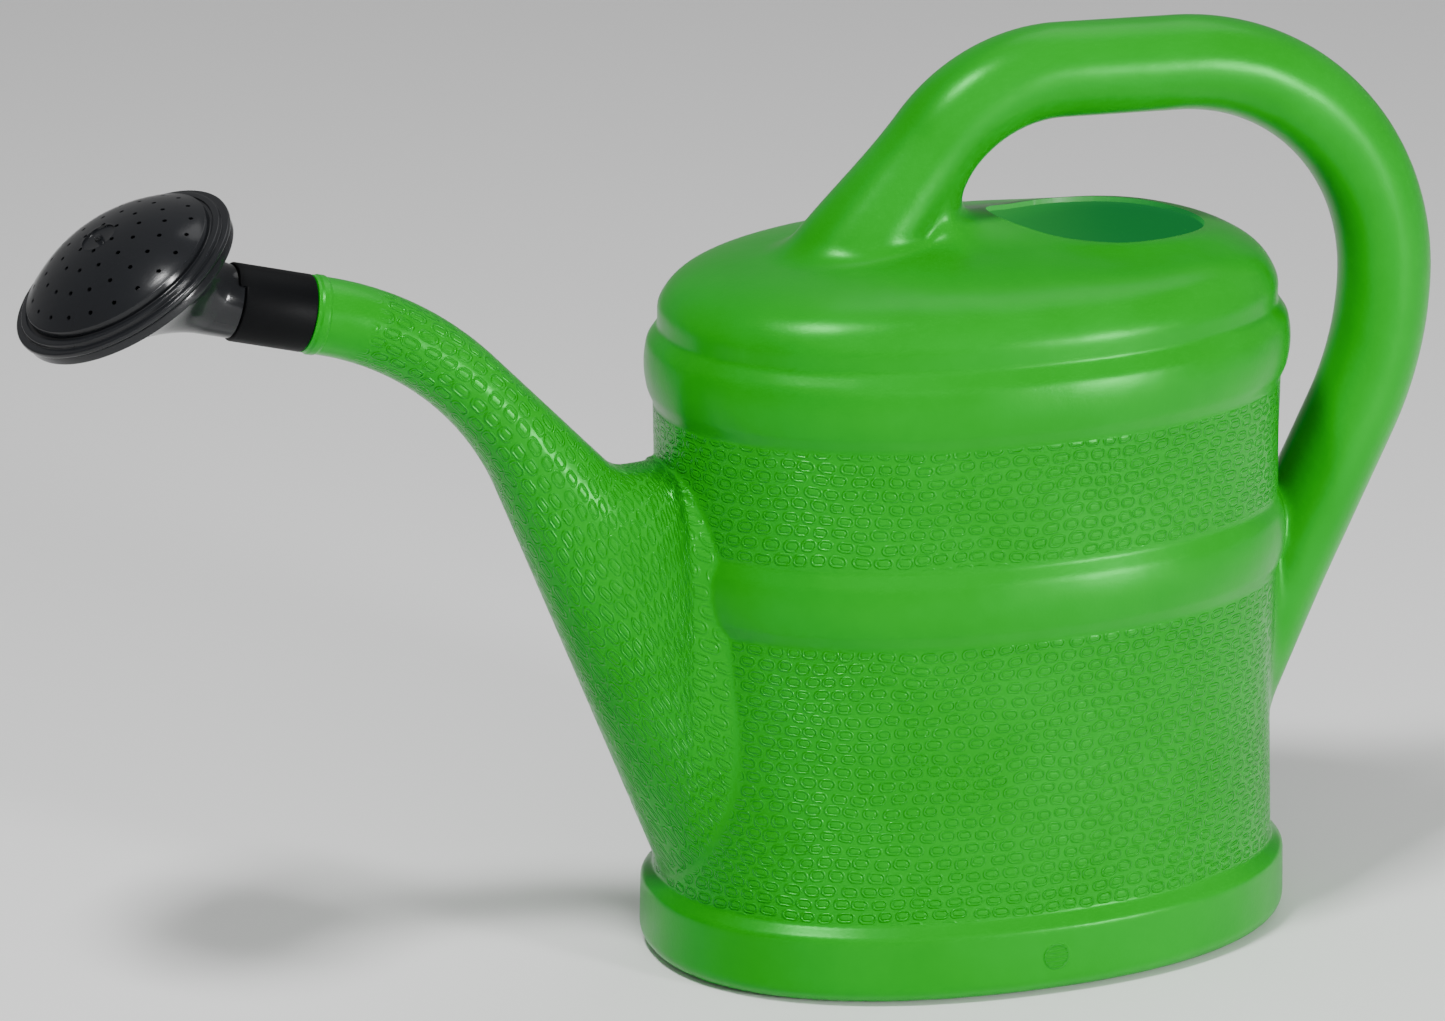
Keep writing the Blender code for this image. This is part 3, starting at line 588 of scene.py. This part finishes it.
def meshOf(name, points, faces):
    mesh = bpy.data.meshes.new(name)
    mesh.vertices.add(len(points))
    mesh.vertices.foreach_set("co", np.asarray(points, np.float32).ravel())
    mesh.loops.add(faces.size)
    mesh.loops.foreach_set("vertex_index", faces.ravel().astype(np.int32))
    mesh.polygons.add(len(faces))
    mesh.polygons.foreach_set("loop_start", np.arange(0, faces.size, faces.shape[1], dtype=np.int32))
    mesh.update(calc_edges=True)
    mesh.validate()
    return mesh


def addPiece(name, mesh, material=None):
    ob = bpy.data.objects.new(name, mesh)
    bpy.context.scene.collection.objects.link(ob)
    if material:
        mesh.materials.clear()
        mesh.materials.append(material)
    return ob


def applied(ob):
    graph = bpy.context.evaluated_depsgraph_get()
    mesh = bpy.data.meshes.new_from_object(ob.evaluated_get(graph))
    bpy.data.objects.remove(ob, do_unlink=True)
    return mesh


def finishMesh(mesh, angle):
    mesh.shade_smooth()
    mesh.set_sharp_from_angle(angle=radians(angle))


def mouthRing(z):
    ring = []
    for i in range(mouth["sides"]):
        c = cos(2 * pi * i / mouth["sides"])
        s = sin(2 * pi * i / mouth["sides"])
        taper = 1.0 - mouth["taper"] * max(0.0, -c) ** 1.5
        ring.append((mouth["x"] + mouth["length"] / 2 * c, mouth["width"] / 2 * s * taper, z))
    return ring


def cutMouth(ob):
    # the cutter's own faces get the second material, and are then dropped so that the skin stays open
    rings = [mouthRing(mouth["low"]), mouthRing(mouth["high"])]
    count = mouth["sides"]
    bm = bmesh.new()
    rows = [[bm.verts.new(p) for p in ring] for ring in rings]
    for i in range(count):
        j = (i + 1) % count
        bm.faces.new((rows[0][i], rows[0][j], rows[1][j], rows[1][i]))
    bm.faces.new(rows[0][::-1])
    bm.faces.new(rows[1])
    mesh = bpy.data.meshes.new("mouth")
    bm.to_mesh(mesh)
    bm.free()
    marker = bpy.data.materials.new("cut")
    cutter = addPiece("mouth_cutter", mesh, marker)
    cutter.hide_render = True
    mod = ob.modifiers.new("mouth", "BOOLEAN")
    mod.operation = "DIFFERENCE"
    mod.solver = "EXACT"
    mod.material_mode = "TRANSFER"
    mod.object = cutter
    bpy.context.view_layer.update()
    mesh = applied(ob)
    bpy.data.objects.remove(cutter, do_unlink=True)
    index = [k for k, m in enumerate(mesh.materials) if m == marker][0]
    bm = bmesh.new()
    bm.from_mesh(mesh)
    doomed = [f for f in bm.faces if f.material_index == index]
    bmesh.ops.delete(bm, geom=doomed, context="FACES")
    return bm, mesh


def grainData(mesh, skin):
    # two sets of grain coordinates: round the tank and along the spout, each with its own mask
    co = np.empty(len(mesh.vertices) * 3, np.float32)
    mesh.vertices.foreach_get("co", co)
    x, y, z = co.reshape(-1, 3).astype(float).T
    reach = planReach(x, y)
    limb = skin.tube(*nearest(x, z, skin.handle), y)
    placed = skin.spout.place(x, z)
    nozzle = skin.spout.distance(placed, y)
    body = skin.section(reach, z)
    half = tank["wallHalf"]
    n = tank["plan"] / 2
    angle = np.arctan2((np.abs(y) / (half - tank["widthDrop"])) ** n, (np.abs(x) / half) ** n * np.sign(x))
    steps = np.linspace(0, pi, 400)
    ex = half * np.abs(np.cos(steps)) ** (1 / n) * np.sign(np.cos(steps))
    ey = (half - tank["widthDrop"]) * np.abs(np.sin(steps)) ** (1 / n)
    arc = np.concatenate(([0.0], np.cumsum(np.hypot(np.diff(ex), np.diff(ey)))))
    around = np.interp(angle, steps, arc)
    panels = 0.0
    edges = ((tank["baseBandTop"] + 0.0015, tank["midBand"][0] - 0.0005),
             (tank["midBand"][1] + 0.0012, tank["topBand"][0] - 0.0005))
    for low, high in edges:
        panels = panels + smooth((z - low) / 0.001) * smooth((high - z) / 0.001)
    away = smooth((limb - 0.001) / 0.003)
    onTank = panels * away * smooth((nozzle - 0.0003) / 0.0009)
    i, v, deep = placed
    wide = skin.spout.column(4, i)
    turn = np.arctan2(v / deep, np.abs(y) / wide)
    side = np.zeros_like(turn)
    for k in range(8):
        a = turn * (k + 0.5) / 8
        side += np.hypot(deep * np.cos(a), wide * np.sin(a)) * turn / 8
    along = np.interp(i, skin.spout.index, skin.spout.run)
    tipSide = smooth((skin.spout.run[-1] - 0.027 - along) / 0.006)
    onSpout = smooth((body - 0.0003) / 0.0009) * tipSide * smooth((-0.09 - x) / 0.004)
    for name, data in (("tankGrain", (around, z, onTank)), ("spoutGrain", (along, side, onSpout))):
        layer = mesh.attributes.new(name, "FLOAT_VECTOR", "POINT")
        layer.data.foreach_set("vector", np.stack(data, 1).astype(np.float32).ravel())


def buildSkin(material, inside):
    skin = Skin()
    points, faces, middle = netSkin(skin)
    print("net", len(points), len(faces))
    for share in (0.5, 0.5, 0.3):
        points = relax(points, faces, middle, share)
        points = settle(points, middle, skin)
    points = settle(points, middle, skin)
    points, faces = mirrored(points, faces, middle)
    ob = addPiece("can_skin", meshOf("can_skin", points, faces), material)
    bm, mesh = cutMouth(ob)
    end = tip - tipAxis * spout["cut"]
    bmesh.ops.bisect_plane(bm, geom=bm.verts[:] + bm.edges[:] + bm.faces[:], dist=1e-6, plane_co=end,
                           plane_no=tipAxis, clear_outer=True)
    bmesh.ops.remove_doubles(bm, verts=bm.verts, dist=0.00004)
    bm.to_mesh(mesh)
    bm.free()
    mesh.shade_smooth()
    ob = addPiece("can_skin", mesh, material)
    # the inner shell takes the second material, whose green glow is painted light
    mesh.materials.append(inside)
    wall = ob.modifiers.new("wall", "SOLIDIFY")
    wall.thickness = tank["skin"]
    wall.offset = -1
    wall.material_offset = 1
    wall.material_offset_rim = 1
    bpy.context.view_layer.update()
    mesh = applied(ob)
    grainData(mesh, skin)
    finishMesh(mesh, 62)
    mesh.transform(Matrix.Translation(shift))
    mesh.name = "can_skin"
    ob = addPiece("can_skin", mesh)
    print("skin", len(mesh.polygons))
    return ob


def ringMesh(name, rings, closed=True):
    # one quad between each two rings; closed also joins the last ring to the first
    rows = np.array(rings)
    count, sides = rows.shape[:2]
    last = count if closed else count - 1
    a = np.arange(last)[:, None] * sides
    b = (np.arange(last)[:, None] + 1) % count * sides
    i = np.arange(sides)[None, :]
    j = (i + 1) % sides
    faces = np.stack([a + i, a + j, b + j, b + i], 2).reshape(-1, 4)
    mesh = meshOf(name, rows.reshape(-1, 3), faces)
    bm = bmesh.new()
    bm.from_mesh(mesh)
    bmesh.ops.remove_doubles(bm, verts=bm.verts, dist=0.00001)
    bmesh.ops.recalc_face_normals(bm, faces=bm.faces)
    bm.to_mesh(mesh)
    bm.free()
    return mesh


def circle(radius, height, sides):
    turns = [2 * pi * k / sides for k in range(sides)]
    return [(radius * cos(a), radius * sin(a), height) for a in turns]


def tipMatrix():
    turn = Matrix((tipUp, Vector((0.0, 1.0, 0.0)), tipAxis)).transposed().to_4x4()
    return Matrix.Translation(tip + shift) @ turn


def turnMatrix():
    return tipMatrix() @ Matrix.Rotation(rose["turn"], 4, "Z")


def rimCentre():
    # middle of the face's rim: along the sleeve's axis, then along the rose's
    raised = rose["rimRaise"]
    return Vector((raised * sin(rose["tilt"]), 0.0, rose["rimAlong"] + raised * cos(rose["tilt"])))


def buildSpoutEnd(material):
    r = spout["shoulder"]
    bead = r + spout["bead"]
    bore = spout["nipple"] - tank["skin"] * 0.8
    nipple = spout["nipple"]
    end = spout["nippleLength"]
    corners = [(bore, -0.0060, 0), (r - 0.0006, -0.0056, 0.0002), (r + 0.0001, -0.0047, 0.0003),
               (bead, -0.0040, 0.0006), (bead, -0.0021, 0.0006), (r, -0.0014, 0.0003),
               (r, -rose["gap"], 0.0003), (nipple, -rose["gap"], 0.0003), (nipple, end, 0.0005),
               (bore, end, 0.0004), (bore, -0.0060, 0)]
    line = roundCorners(corners, 5)[:-1]
    mesh = ringMesh("spout_end", [circle(p, z, 128) for p, z in line])
    for name in ("tankGrain", "spoutGrain"):
        mesh.attributes.new(name, "FLOAT_VECTOR", "POINT")
    mesh.transform(tipMatrix())
    finishMesh(mesh, 40)
    return addPiece("spout_end", mesh, material)


def buildSleeve(material):
    r = rose["sleeve"]
    bore = spout["nipple"] + rose["gap"]
    inner = r - rose["neckStep"] + rose["gap"]
    edge = rose["tabHalf"]
    angles = sorted({round(a, 5) for a in list(np.linspace(-pi, pi, 180, endpoint=False))
                     + [s * (edge + d) for s in (-1, 1) for d in np.linspace(-0.02, 0.03, 9)]})
    long = rose["length"] + rose["tab"]
    short = rose["length"] - 0.0001
    rows = []
    for a in angles:
        t = float(smooth((edge + 0.012 - abs(a)) / 0.022))
        end = short + (long - short) * t
        lip = inner * t + (bore + 0.0002) * (1 - t)
        ledge = rose["length"] - 0.0003
        line = [(bore, 0.0), (r - 0.0005, 0.0), (r - 0.00015, 0.00015), (r, 0.0005),
                (r, 0.012), (r, end - 0.0006), (r - 0.00007, end - 0.0003), (r - 0.00022, end - 0.0001),
                (r - 0.0004, end), (lip, end), (lip, ledge), (bore, ledge)]
        rows.append([(p * cos(a), p * sin(a), z) for p, z in line])
    mesh = ringMesh("rose_sleeve", [list(ring) for ring in zip(*rows)])
    mesh.transform(tipMatrix())
    finishMesh(mesh, 35)
    return addPiece("sleeve", mesh, material)


def tiltedRing(centre, tilt, rx, ry, sides):
    across = Vector((cos(tilt), 0.0, -sin(tilt)))
    side = Vector((0.0, 1.0, 0.0))
    return [tuple(centre + across * (rx * cos(2 * pi * k / sides)) + side * (ry * sin(2 * pi * k / sides)))
            for k in range(sides)]


def funnelRings(inset, steps=28):
    tilt = rose["tilt"]
    axis = Vector((sin(tilt), 0.0, cos(tilt)))
    across = Vector((cos(tilt), 0.0, -sin(tilt)))
    rim = rimCentre()
    start = rim - axis * (rose["flange"] / 2 + rose["gap"] + rose["cupRim"])
    draw = rim - axis * rose["funnelDepth"] + across * rose["funnelShift"]
    end = Vector((0.0, 0.0, rose["neckEnd"]))
    sizes = (rose["cup"] - rose["ledge"] - inset, rose["funnelRadius"] - inset,
             rose["sleeve"] - rose["neckStep"] - inset)
    rings = []
    for i in range(steps + 1):
        t = i / steps
        w = ((1 - t) ** 2, 2 * t * (1 - t), t ** 2)
        centre = start * w[0] + draw * w[1] + end * w[2]
        radius = sum(s * k for s, k in zip(sizes, w))
        lean = tilt + (rose["mitre"] - tilt) * t
        stretch = 1 + (1 / cos(rose["mitre"]) - 1) * t ** 3
        rings.append(tiltedRing(centre, lean, radius * stretch, radius, rose["sides"]))
    return rings


def buildCup(material):
    tilt = rose["tilt"]
    axis = Vector((sin(tilt), 0.0, cos(tilt)))
    rim = rimCentre()
    neck = rose["sleeve"] - rose["neckStep"]
    spigot = spout["nipple"]
    bore = spigot - rose["neckWall"]
    top = rose["flange"] / 2 + rose["gap"]
    inside = rose["cup"] - rose["ledge"] - rose["wall"]
    length = rose["length"]
    sides = rose["sides"]

    def rimRing(depth, radius):
        return tiltedRing(rim - axis * depth, tilt, radius, radius, sides)

    def neckRing(height, radius):
        return tiltedRing(Vector((0.0, 0.0, height)), 0.0, radius, radius, sides)

    foot = top + rose["cupRim"]
    outer = roundCorners([(inside, top, 0), (rose["cup"], top, 0.0005), (rose["cup"], foot, 0.0006),
                          (rose["cup"] - rose["ledge"], foot, 0.0)], 4)
    rings = [rimRing(z, r) for r, z in outer[:-1]]
    rings += funnelRings(0.0)
    rings += [neckRing(length + 0.0004, neck), neckRing(length, neck - 0.0003), neckRing(length, spigot),
              neckRing(length - rose["spigot"], spigot), neckRing(length - rose["spigot"], bore),
              neckRing(length, bore)]
    rings += funnelRings(rose["wall"])[::-1]
    mesh = ringMesh("rose_cup", rings)
    mesh.transform(turnMatrix())
    finishMesh(mesh, 32)
    return addPiece("cup", mesh, material)


def domeLine(drop, edge, steps):
    rise = rose["domeTop"] - rose["domeEdge"]
    ball = (rose["dome"] ** 2 + rise ** 2) / (2 * rise) - drop
    middle = rose["domeTop"] - drop - ball
    end = atan2(edge, (ball ** 2 - edge ** 2) ** 0.5)
    return [(ball * sin(end * i / steps), middle + ball * cos(end * i / steps)) for i in range(steps + 1)]


def buildFace(material):
    under = -rose["flange"] / 2
    skirt = rose["cup"] - rose["ledge"] - rose["wall"] - rose["gap"]
    dome = domeLine(0.0, rose["dome"], 44)
    disc = rose["disc"]
    sink = rose["discSink"]
    top = rose["domeTop"]
    line = [(0.0, top + sink * 0.4), (0.0010, top + sink * 0.3), (0.0013, top - sink * 0.2),
            (0.0014, top - sink), (disc - 0.0007, top - sink * 1.1), (disc - 0.0004, top - sink),
            (disc - 0.0002, dome[6][1] - 0.00005)]
    line += [(r, z) for r, z in dome if disc < r < rose["dome"] - 0.0008]
    rim = rose["dome"]
    step = rose["stepTop"]
    edge = [(rim - 0.0005, rose["domeEdge"] + 0.0003, 0.0), (rim + 0.0002, rose["domeEdge"], 0.0003),
            (rim + 0.0003, step - 0.0006, 0.0004), (rim + 0.0014, step - 0.0006, 0.0003),
            (rim + 0.0016, step, 0.0002), (rose["step"] - 0.0002, step - 0.0002, 0.0004),
            (rose["step"], -under, 0.0003), (rose["rim"], -under, 0.0006), (rose["rim"], under, 0.0006),
            (skirt, under, 0.0), (skirt, under - rose["cupRim"], 0.0003),
            (skirt - rose["skirt"], under - rose["cupRim"], 0.0003),
            (skirt - rose["skirt"], rose["domeEdge"] - rose["faceWall"] * 2.2, 0.0)]
    line += [tuple(p) for p in roundCorners(edge, 5)[1:]]
    line += domeLine(rose["faceWall"], rose["dome"] - rose["faceWall"] * 1.6, 20)[::-1]
    mesh = ringMesh("rose_face", [circle(max(r, 0.0), z, rose["sides"]) for r, z in line], closed=False)
    ob = addPiece("face", mesh, material)
    bm = bmesh.new()
    rise = rose["domeTop"] - rose["domeEdge"]
    ball = (rose["dome"] ** 2 + rise ** 2) / (2 * rise)
    for radius, count, offset in rose["rings"]:
        lean = atan2(radius, (ball ** 2 - radius ** 2) ** 0.5)
        for i in range(count):
            turn = Matrix.Rotation(2 * pi * i / count + radians(offset), 4, "Z")
            place = turn @ Matrix.Translation((0.0, 0.0, rose["domeTop"] - ball))
            place = place @ Matrix.Rotation(lean, 4, "Y") @ Matrix.Translation((0.0, 0.0, ball))
            bmesh.ops.create_cone(bm, cap_ends=True, segments=20, radius1=rose["hole"],
                                  radius2=rose["hole"], depth=rose["faceWall"] * 4, matrix=place)
    holes = bpy.data.meshes.new("holes")
    bm.to_mesh(holes)
    bm.free()
    cutter = addPiece("holes", holes)
    mod = ob.modifiers.new("holes", "BOOLEAN")
    mod.operation = "DIFFERENCE"
    mod.solver = "EXACT"
    mod.object = cutter
    bpy.context.view_layer.update()
    mesh = applied(ob)
    bpy.data.objects.remove(cutter, do_unlink=True)
    mesh.transform(turnMatrix() @ Matrix.Translation(rimCentre()) @ Matrix.Rotation(rose["tilt"], 4, "Y"))
    finishMesh(mesh, 32)
    return addPiece("face", mesh, material)


class Signal:
    # a number in a shader that can be added, multiplied and so on
    def __init__(self, graph, socket):
        self.graph = graph
        self.socket = socket

    def math(self, operation, *others):
        node = self.graph.nodes.new("ShaderNodeMath")
        node.operation = operation
        for socket, value in zip(node.inputs, (self,) + others):
            self.graph.put(socket, value)
        return Signal(self.graph, node.outputs[0])

    def __add__(self, other):
        return self.math("ADD", other)

    __radd__ = __add__

    def __sub__(self, other):
        return self.math("SUBTRACT", other)

    def __rsub__(self, other):
        return self * -1 + other

    def __mul__(self, other):
        return self.math("MULTIPLY", other)

    __rmul__ = __mul__

    def __truediv__(self, other):
        return self.math("DIVIDE", other)

    def clamped(self):
        return self.math("MAXIMUM", 0.0).math("MINIMUM", 1.0)

    def ramp(self, start, end):
        # 0 at start, 1 at end, soft between
        t = ((self - start) / (end - start)).clamped()
        return t * t * (3 - 2 * t)

    def peak(self, centre, width):
        # 1 at the centre, falling to 0 at one width to either side
        return 1 - (self - centre).math("ABSOLUTE").ramp(0.0, width)


class Graph:
    def __init__(self, name, colour, roughness):
        self.material = bpy.data.materials.new(name)
        self.material.use_nodes = True
        self.nodes = self.material.node_tree.nodes
        self.links = self.material.node_tree.links
        self.shader = self.nodes["Principled BSDF"]
        self.shader.inputs["Base Color"].default_value = colour
        self.shader.inputs["Roughness"].default_value = roughness

    def put(self, socket, value):
        if isinstance(value, Signal):
            self.links.new(value.socket, socket)
        elif isinstance(value, bpy.types.NodeSocket):
            self.links.new(value, socket)
        else:
            socket.default_value = value

    def node(self, kind, settings=None, **values):
        node = self.nodes.new(kind)
        for key, value in (settings or {}).items():
            setattr(node, key, value)
        for key, value in values.items():
            self.put(node.inputs[key.replace("_", " ")], value)
        return node

    def signal(self, node, output):
        return Signal(self, node.outputs[output])

    def parts(self, vector):
        node = self.node("ShaderNodeSeparateXYZ", Vector=vector)
        return [Signal(self, node.outputs[k]) for k in range(3)]

    def attribute(self, name):
        node = self.node("ShaderNodeAttribute", {"attribute_name": name})
        return self.parts(node.outputs["Vector"])

    def vector(self, x, y, z=0.0):
        return self.node("ShaderNodeCombineXYZ", X=x, Y=y, Z=z).outputs[0]

    def place(self):
        return self.node("ShaderNodeTexCoord").outputs["Object"]

    def noise(self, vector, scale, detail=2.0, rough=0.5):
        node = self.node("ShaderNodeTexNoise", None, Vector=vector, Scale=scale, Detail=detail,
                         Roughness=rough)
        return self.signal(node, "Fac")

    def random(self, x, y, seed):
        spot = self.vector(x, y, seed)
        node = self.node("ShaderNodeTexWhiteNoise", {"noise_dimensions": "3D"}, Vector=spot)
        return self.signal(node, "Value")

    def mixed(self, factor, a, b):
        node = self.node("ShaderNodeMix", {"data_type": "RGBA"}, Factor=factor)
        self.put(node.inputs[6], a)
        self.put(node.inputs[7], b)
        return node.outputs[2]

    def bump(self, height, distance, strength=1.0, normal=None):
        node = self.node("ShaderNodeBump", None, Height=height, Distance=distance, Strength=strength)
        if normal:
            self.put(node.inputs["Normal"], normal)
        return node.outputs["Normal"]


# what a user would change on the moulded grain
grain = {
    "pitchU": 0.0062,  # one pebble's pitch round the tank
    "pitchV": 0.0044,  # and up it
    "spoutU": 0.0068,  # along the spout
    "spoutV": 0.0046,  # and round it
    "proud": 0.00032,  # how far a pebble's ring stands out
    "wander": 0.30,  # how much the rows wander
}


# what a user would change on the vent plug's print
vent = {"x": 0.0795, "z": 0.01275, "radius": 0.0041, "pitch": 0.00142}


def pebbles(graph, u, v, pitchU, pitchV, seed):
    # rows of oval rings, each with a small pad inside it
    drift = graph.noise(graph.vector(u, v, seed), 38.0, 1.0)
    sway = graph.noise(graph.vector(u, v, seed + 4.0), 30.0, 1.0)
    u = u / pitchU + (drift - 0.5) * grain["wander"] * 3
    v = v / pitchV + (sway - 0.5) * grain["wander"] * 4
    row = v.math("FLOOR")
    slip = graph.random(row, 0.5, seed) * 0.35 + row.math("MODULO", 2.0).math("ABSOLUTE") * 0.5
    u = u + slip
    column = u.math("FLOOR")
    jitter = graph.random(column, row, seed + 1.0)
    lift = graph.random(column, row, seed + 2.0)
    size = graph.random(column, row, seed + 3.0) * 0.14 + 0.86
    x = (u - column - 0.5 + (jitter - 0.5) * 0.16) * pitchU
    y = (v - row - 0.5 + (lift - 0.5) * 0.16) * pitchV
    radius = pitchV * 0.46
    straight = pitchU * 0.47 - radius
    over = (x.math("ABSOLUTE") - straight).math("MAXIMUM", 0.0)
    reach = (over * over + y * y).math("SQRT") / (size * radius)
    return reach.peak(0.80, 0.26) + reach.ramp(0.55, 0.28) * 0.8


def ventMark(graph, place):
    # the mould's round slotted vent plug leaves its print low on the front
    x, y, z = graph.parts(place)
    across = x - vent["x"]
    up = z - vent["z"]
    out = (across * across + up * up).math("SQRT")
    bars = (up * (2 * pi / vent["pitch"])).math("COSINE").ramp(-0.3, 0.5)
    ring = out.peak(vent["radius"], 0.0005)
    return (bars * out.ramp(vent["radius"], vent["radius"] - 0.0003) + ring) * (0.0 - y).ramp(0.0, 0.01)


def greenPlastic():
    graph = Graph("green_plastic", (0.030, 0.360, 0.026, 1.0), 0.36)
    place = graph.place()
    around, high, onTank = graph.attribute("tankGrain")
    along, across, onSpout = graph.attribute("spoutGrain")
    tankPebbles = pebbles(graph, around, high, grain["pitchU"], grain["pitchV"], 3.0)
    spoutPebbles = pebbles(graph, along, across, grain["spoutU"], grain["spoutV"], 11.0)
    height = tankPebbles * onTank + spoutPebbles * onSpout + ventMark(graph, place) * 1.1
    normal = graph.bump(height, grain["proud"])
    skinNoise = graph.noise(place, 900.0, 3.0, 0.6)
    normal = graph.bump(skinNoise, 0.000035, 1.0, normal)
    waves = graph.noise(place, 45.0, 2.0)
    normal = graph.bump(waves, 0.0006, 0.6, normal)
    graph.put(graph.shader.inputs["Normal"], normal)
    patches = graph.noise(place, 22.0, 3.0)
    rough = 0.25 + patches * 0.07 + skinNoise * 0.04 - (onTank + onSpout) * 0.02
    graph.put(graph.shader.inputs["Roughness"], rough)
    tint = graph.mixed(patches.ramp(0.35, 0.65), (0.0, 0.245, 0.006, 1.0), (0.0, 0.27, 0.008, 1.0))
    graph.shader.inputs["Specular Tint"].default_value = (0.07, 1.0, 0.15, 1.0)
    graph.shader.inputs["Specular IOR Level"].default_value = 0.50
    graph.put(graph.shader.inputs["Base Color"], tint)
    return graph.material


def greenInsidePaintedGlow():
    # painted light: the inside of the tank glows green, standing in for the daylight that falls in through
    # the mouth and the thin wall; past x = 0.09 the glow fades to a darker green towards the rear, a
    # painted shade
    graph = Graph("green_inside_painted_glow", (0.0, 0.25, 0.010, 1.0), 0.45)
    x, _, _ = graph.parts(graph.place())
    # painted glow: a brighter green emission towards the front, dimmer towards the rear
    paintedGlow = graph.mixed(x.ramp(0.09, 0.15), (0.030, 0.22, 0.048, 1.0), (0.014, 0.11, 0.034, 1.0))
    graph.put(graph.shader.inputs["Emission Color"], paintedGlow)
    graph.shader.inputs["Emission Strength"].default_value = 1.0
    return graph.material


def blackPlastic(name, rough, sheen, shine, shade):
    graph = Graph(name, (shade, shade * 1.08, shade * 1.25, 1.0), rough)
    graph.shader.inputs["Specular IOR Level"].default_value = shine
    place = graph.place()
    fine = graph.noise(place, 1400.0, 2.0)
    waves = graph.noise(place, 90.0, 2.0)
    normal = graph.bump(fine, 0.00001 * sheen)
    normal = graph.bump(waves, 0.0002, 0.5, normal)
    graph.put(graph.shader.inputs["Normal"], normal)
    graph.put(graph.shader.inputs["Roughness"], rough + waves * 0.06 + fine * 0.05)
    return graph.material


# what a user would change on the studio; azimuths run from the front towards the handle
studio = {
    "world": 0.27,
    "floor": 0.90,
    "softboxes": {
        "key": {"azimuth": 33, "elevation": 8, "distance": 1.6, "size": (0.22, 0.34), "power": 24.0,
                "target": (0.05, 0.0, 0.13)},
        "left": {"azimuth": -52, "elevation": 65, "distance": 1.5, "size": (0.24, 0.24), "power": 24.0,
                 "target": (0.0, 0.0, 0.20)},
        "front": {"azimuth": -14, "elevation": 30, "distance": 2.6, "size": (2.2, 1.6), "power": 10.0,
                  "target": (0.0, 0.0, 0.15)},
        "top": {"azimuth": 130, "elevation": 60, "distance": 2.2, "size": (1.4, 1.2), "power": 8.0,
                "target": (0.0, 0.0, 0.20)},
    },
    "camera": (-0.7234, -2.0694, 0.8681),
    "aim": (71.83, 0.0, -19.06),  # the camera's turn, in degrees
    "lens": 180.3,
}


def buildSoftbox(name, box):
    light = bpy.data.lights.new(name, "AREA")
    light.shape = "RECTANGLE"
    light.size, light.size_y = box["size"]
    light.energy = box["power"]
    ob = bpy.data.objects.new(name, light)
    a = radians(box["azimuth"])
    e = radians(box["elevation"])
    target = Vector(box["target"])
    ob.location = target + Vector((sin(a) * cos(e), -cos(a) * cos(e), sin(e))) * box["distance"]
    ob.rotation_euler = (ob.location - target).to_track_quat("Z", "Y").to_euler()
    bpy.context.scene.collection.objects.link(ob)


def buildStage():
    bm = bmesh.new()
    bmesh.ops.create_grid(bm, x_segments=8, y_segments=8, size=6.0)
    mesh = bpy.data.meshes.new("floor")
    bm.to_mesh(mesh)
    bm.free()
    shade = studio["floor"]
    graph = Graph("floor", (shade, shade, shade, 1.0), 0.7)
    floor = addPiece("floor", mesh, graph.material)
    floor.location.z = -0.0004
    world = bpy.data.worlds.new("studio")
    world.use_nodes = True
    background = world.node_tree.nodes["Background"]
    background.inputs["Color"].default_value = (1.0, 1.0, 1.0, 1.0)
    background.inputs["Strength"].default_value = studio["world"]
    bpy.context.scene.world = world
    for name, box in studio["softboxes"].items():
        buildSoftbox(name, box)


def buildCamera():
    camera = bpy.data.cameras.new("camera")
    camera.lens = studio["lens"]
    camera.sensor_width = 36.0
    camera.clip_end = 20.0
    ob = bpy.data.objects.new("camera", camera)
    ob.location = studio["camera"]
    ob.rotation_euler = [radians(angle) for angle in studio["aim"]]
    bpy.context.scene.collection.objects.link(ob)
    bpy.context.scene.camera = ob


green = greenPlastic()
# the tank's inside gets the material with the painted glow
canSkin = buildSkin(green, greenInsidePaintedGlow())
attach(canSkin, "can")
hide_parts("can_body")
spoutEnd = buildSpoutEnd(green)
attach(spoutEnd, "can")
print("can built")

sleeve = buildSleeve(blackPlastic("black_sleeve", 0.42, 3.0, 0.07, 0.003))
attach(sleeve, "sleeve")
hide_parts("rose_sleeve")
gloss = blackPlastic("black_plastic", 0.11, 1.0, 0.30, 0.010)
cup = buildCup(gloss)
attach(cup, "cup")
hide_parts("rose_cup")
face = buildFace(gloss)
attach(face, "face")
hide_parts("rose_face")
print("rose built")

buildStage()
buildCamera()
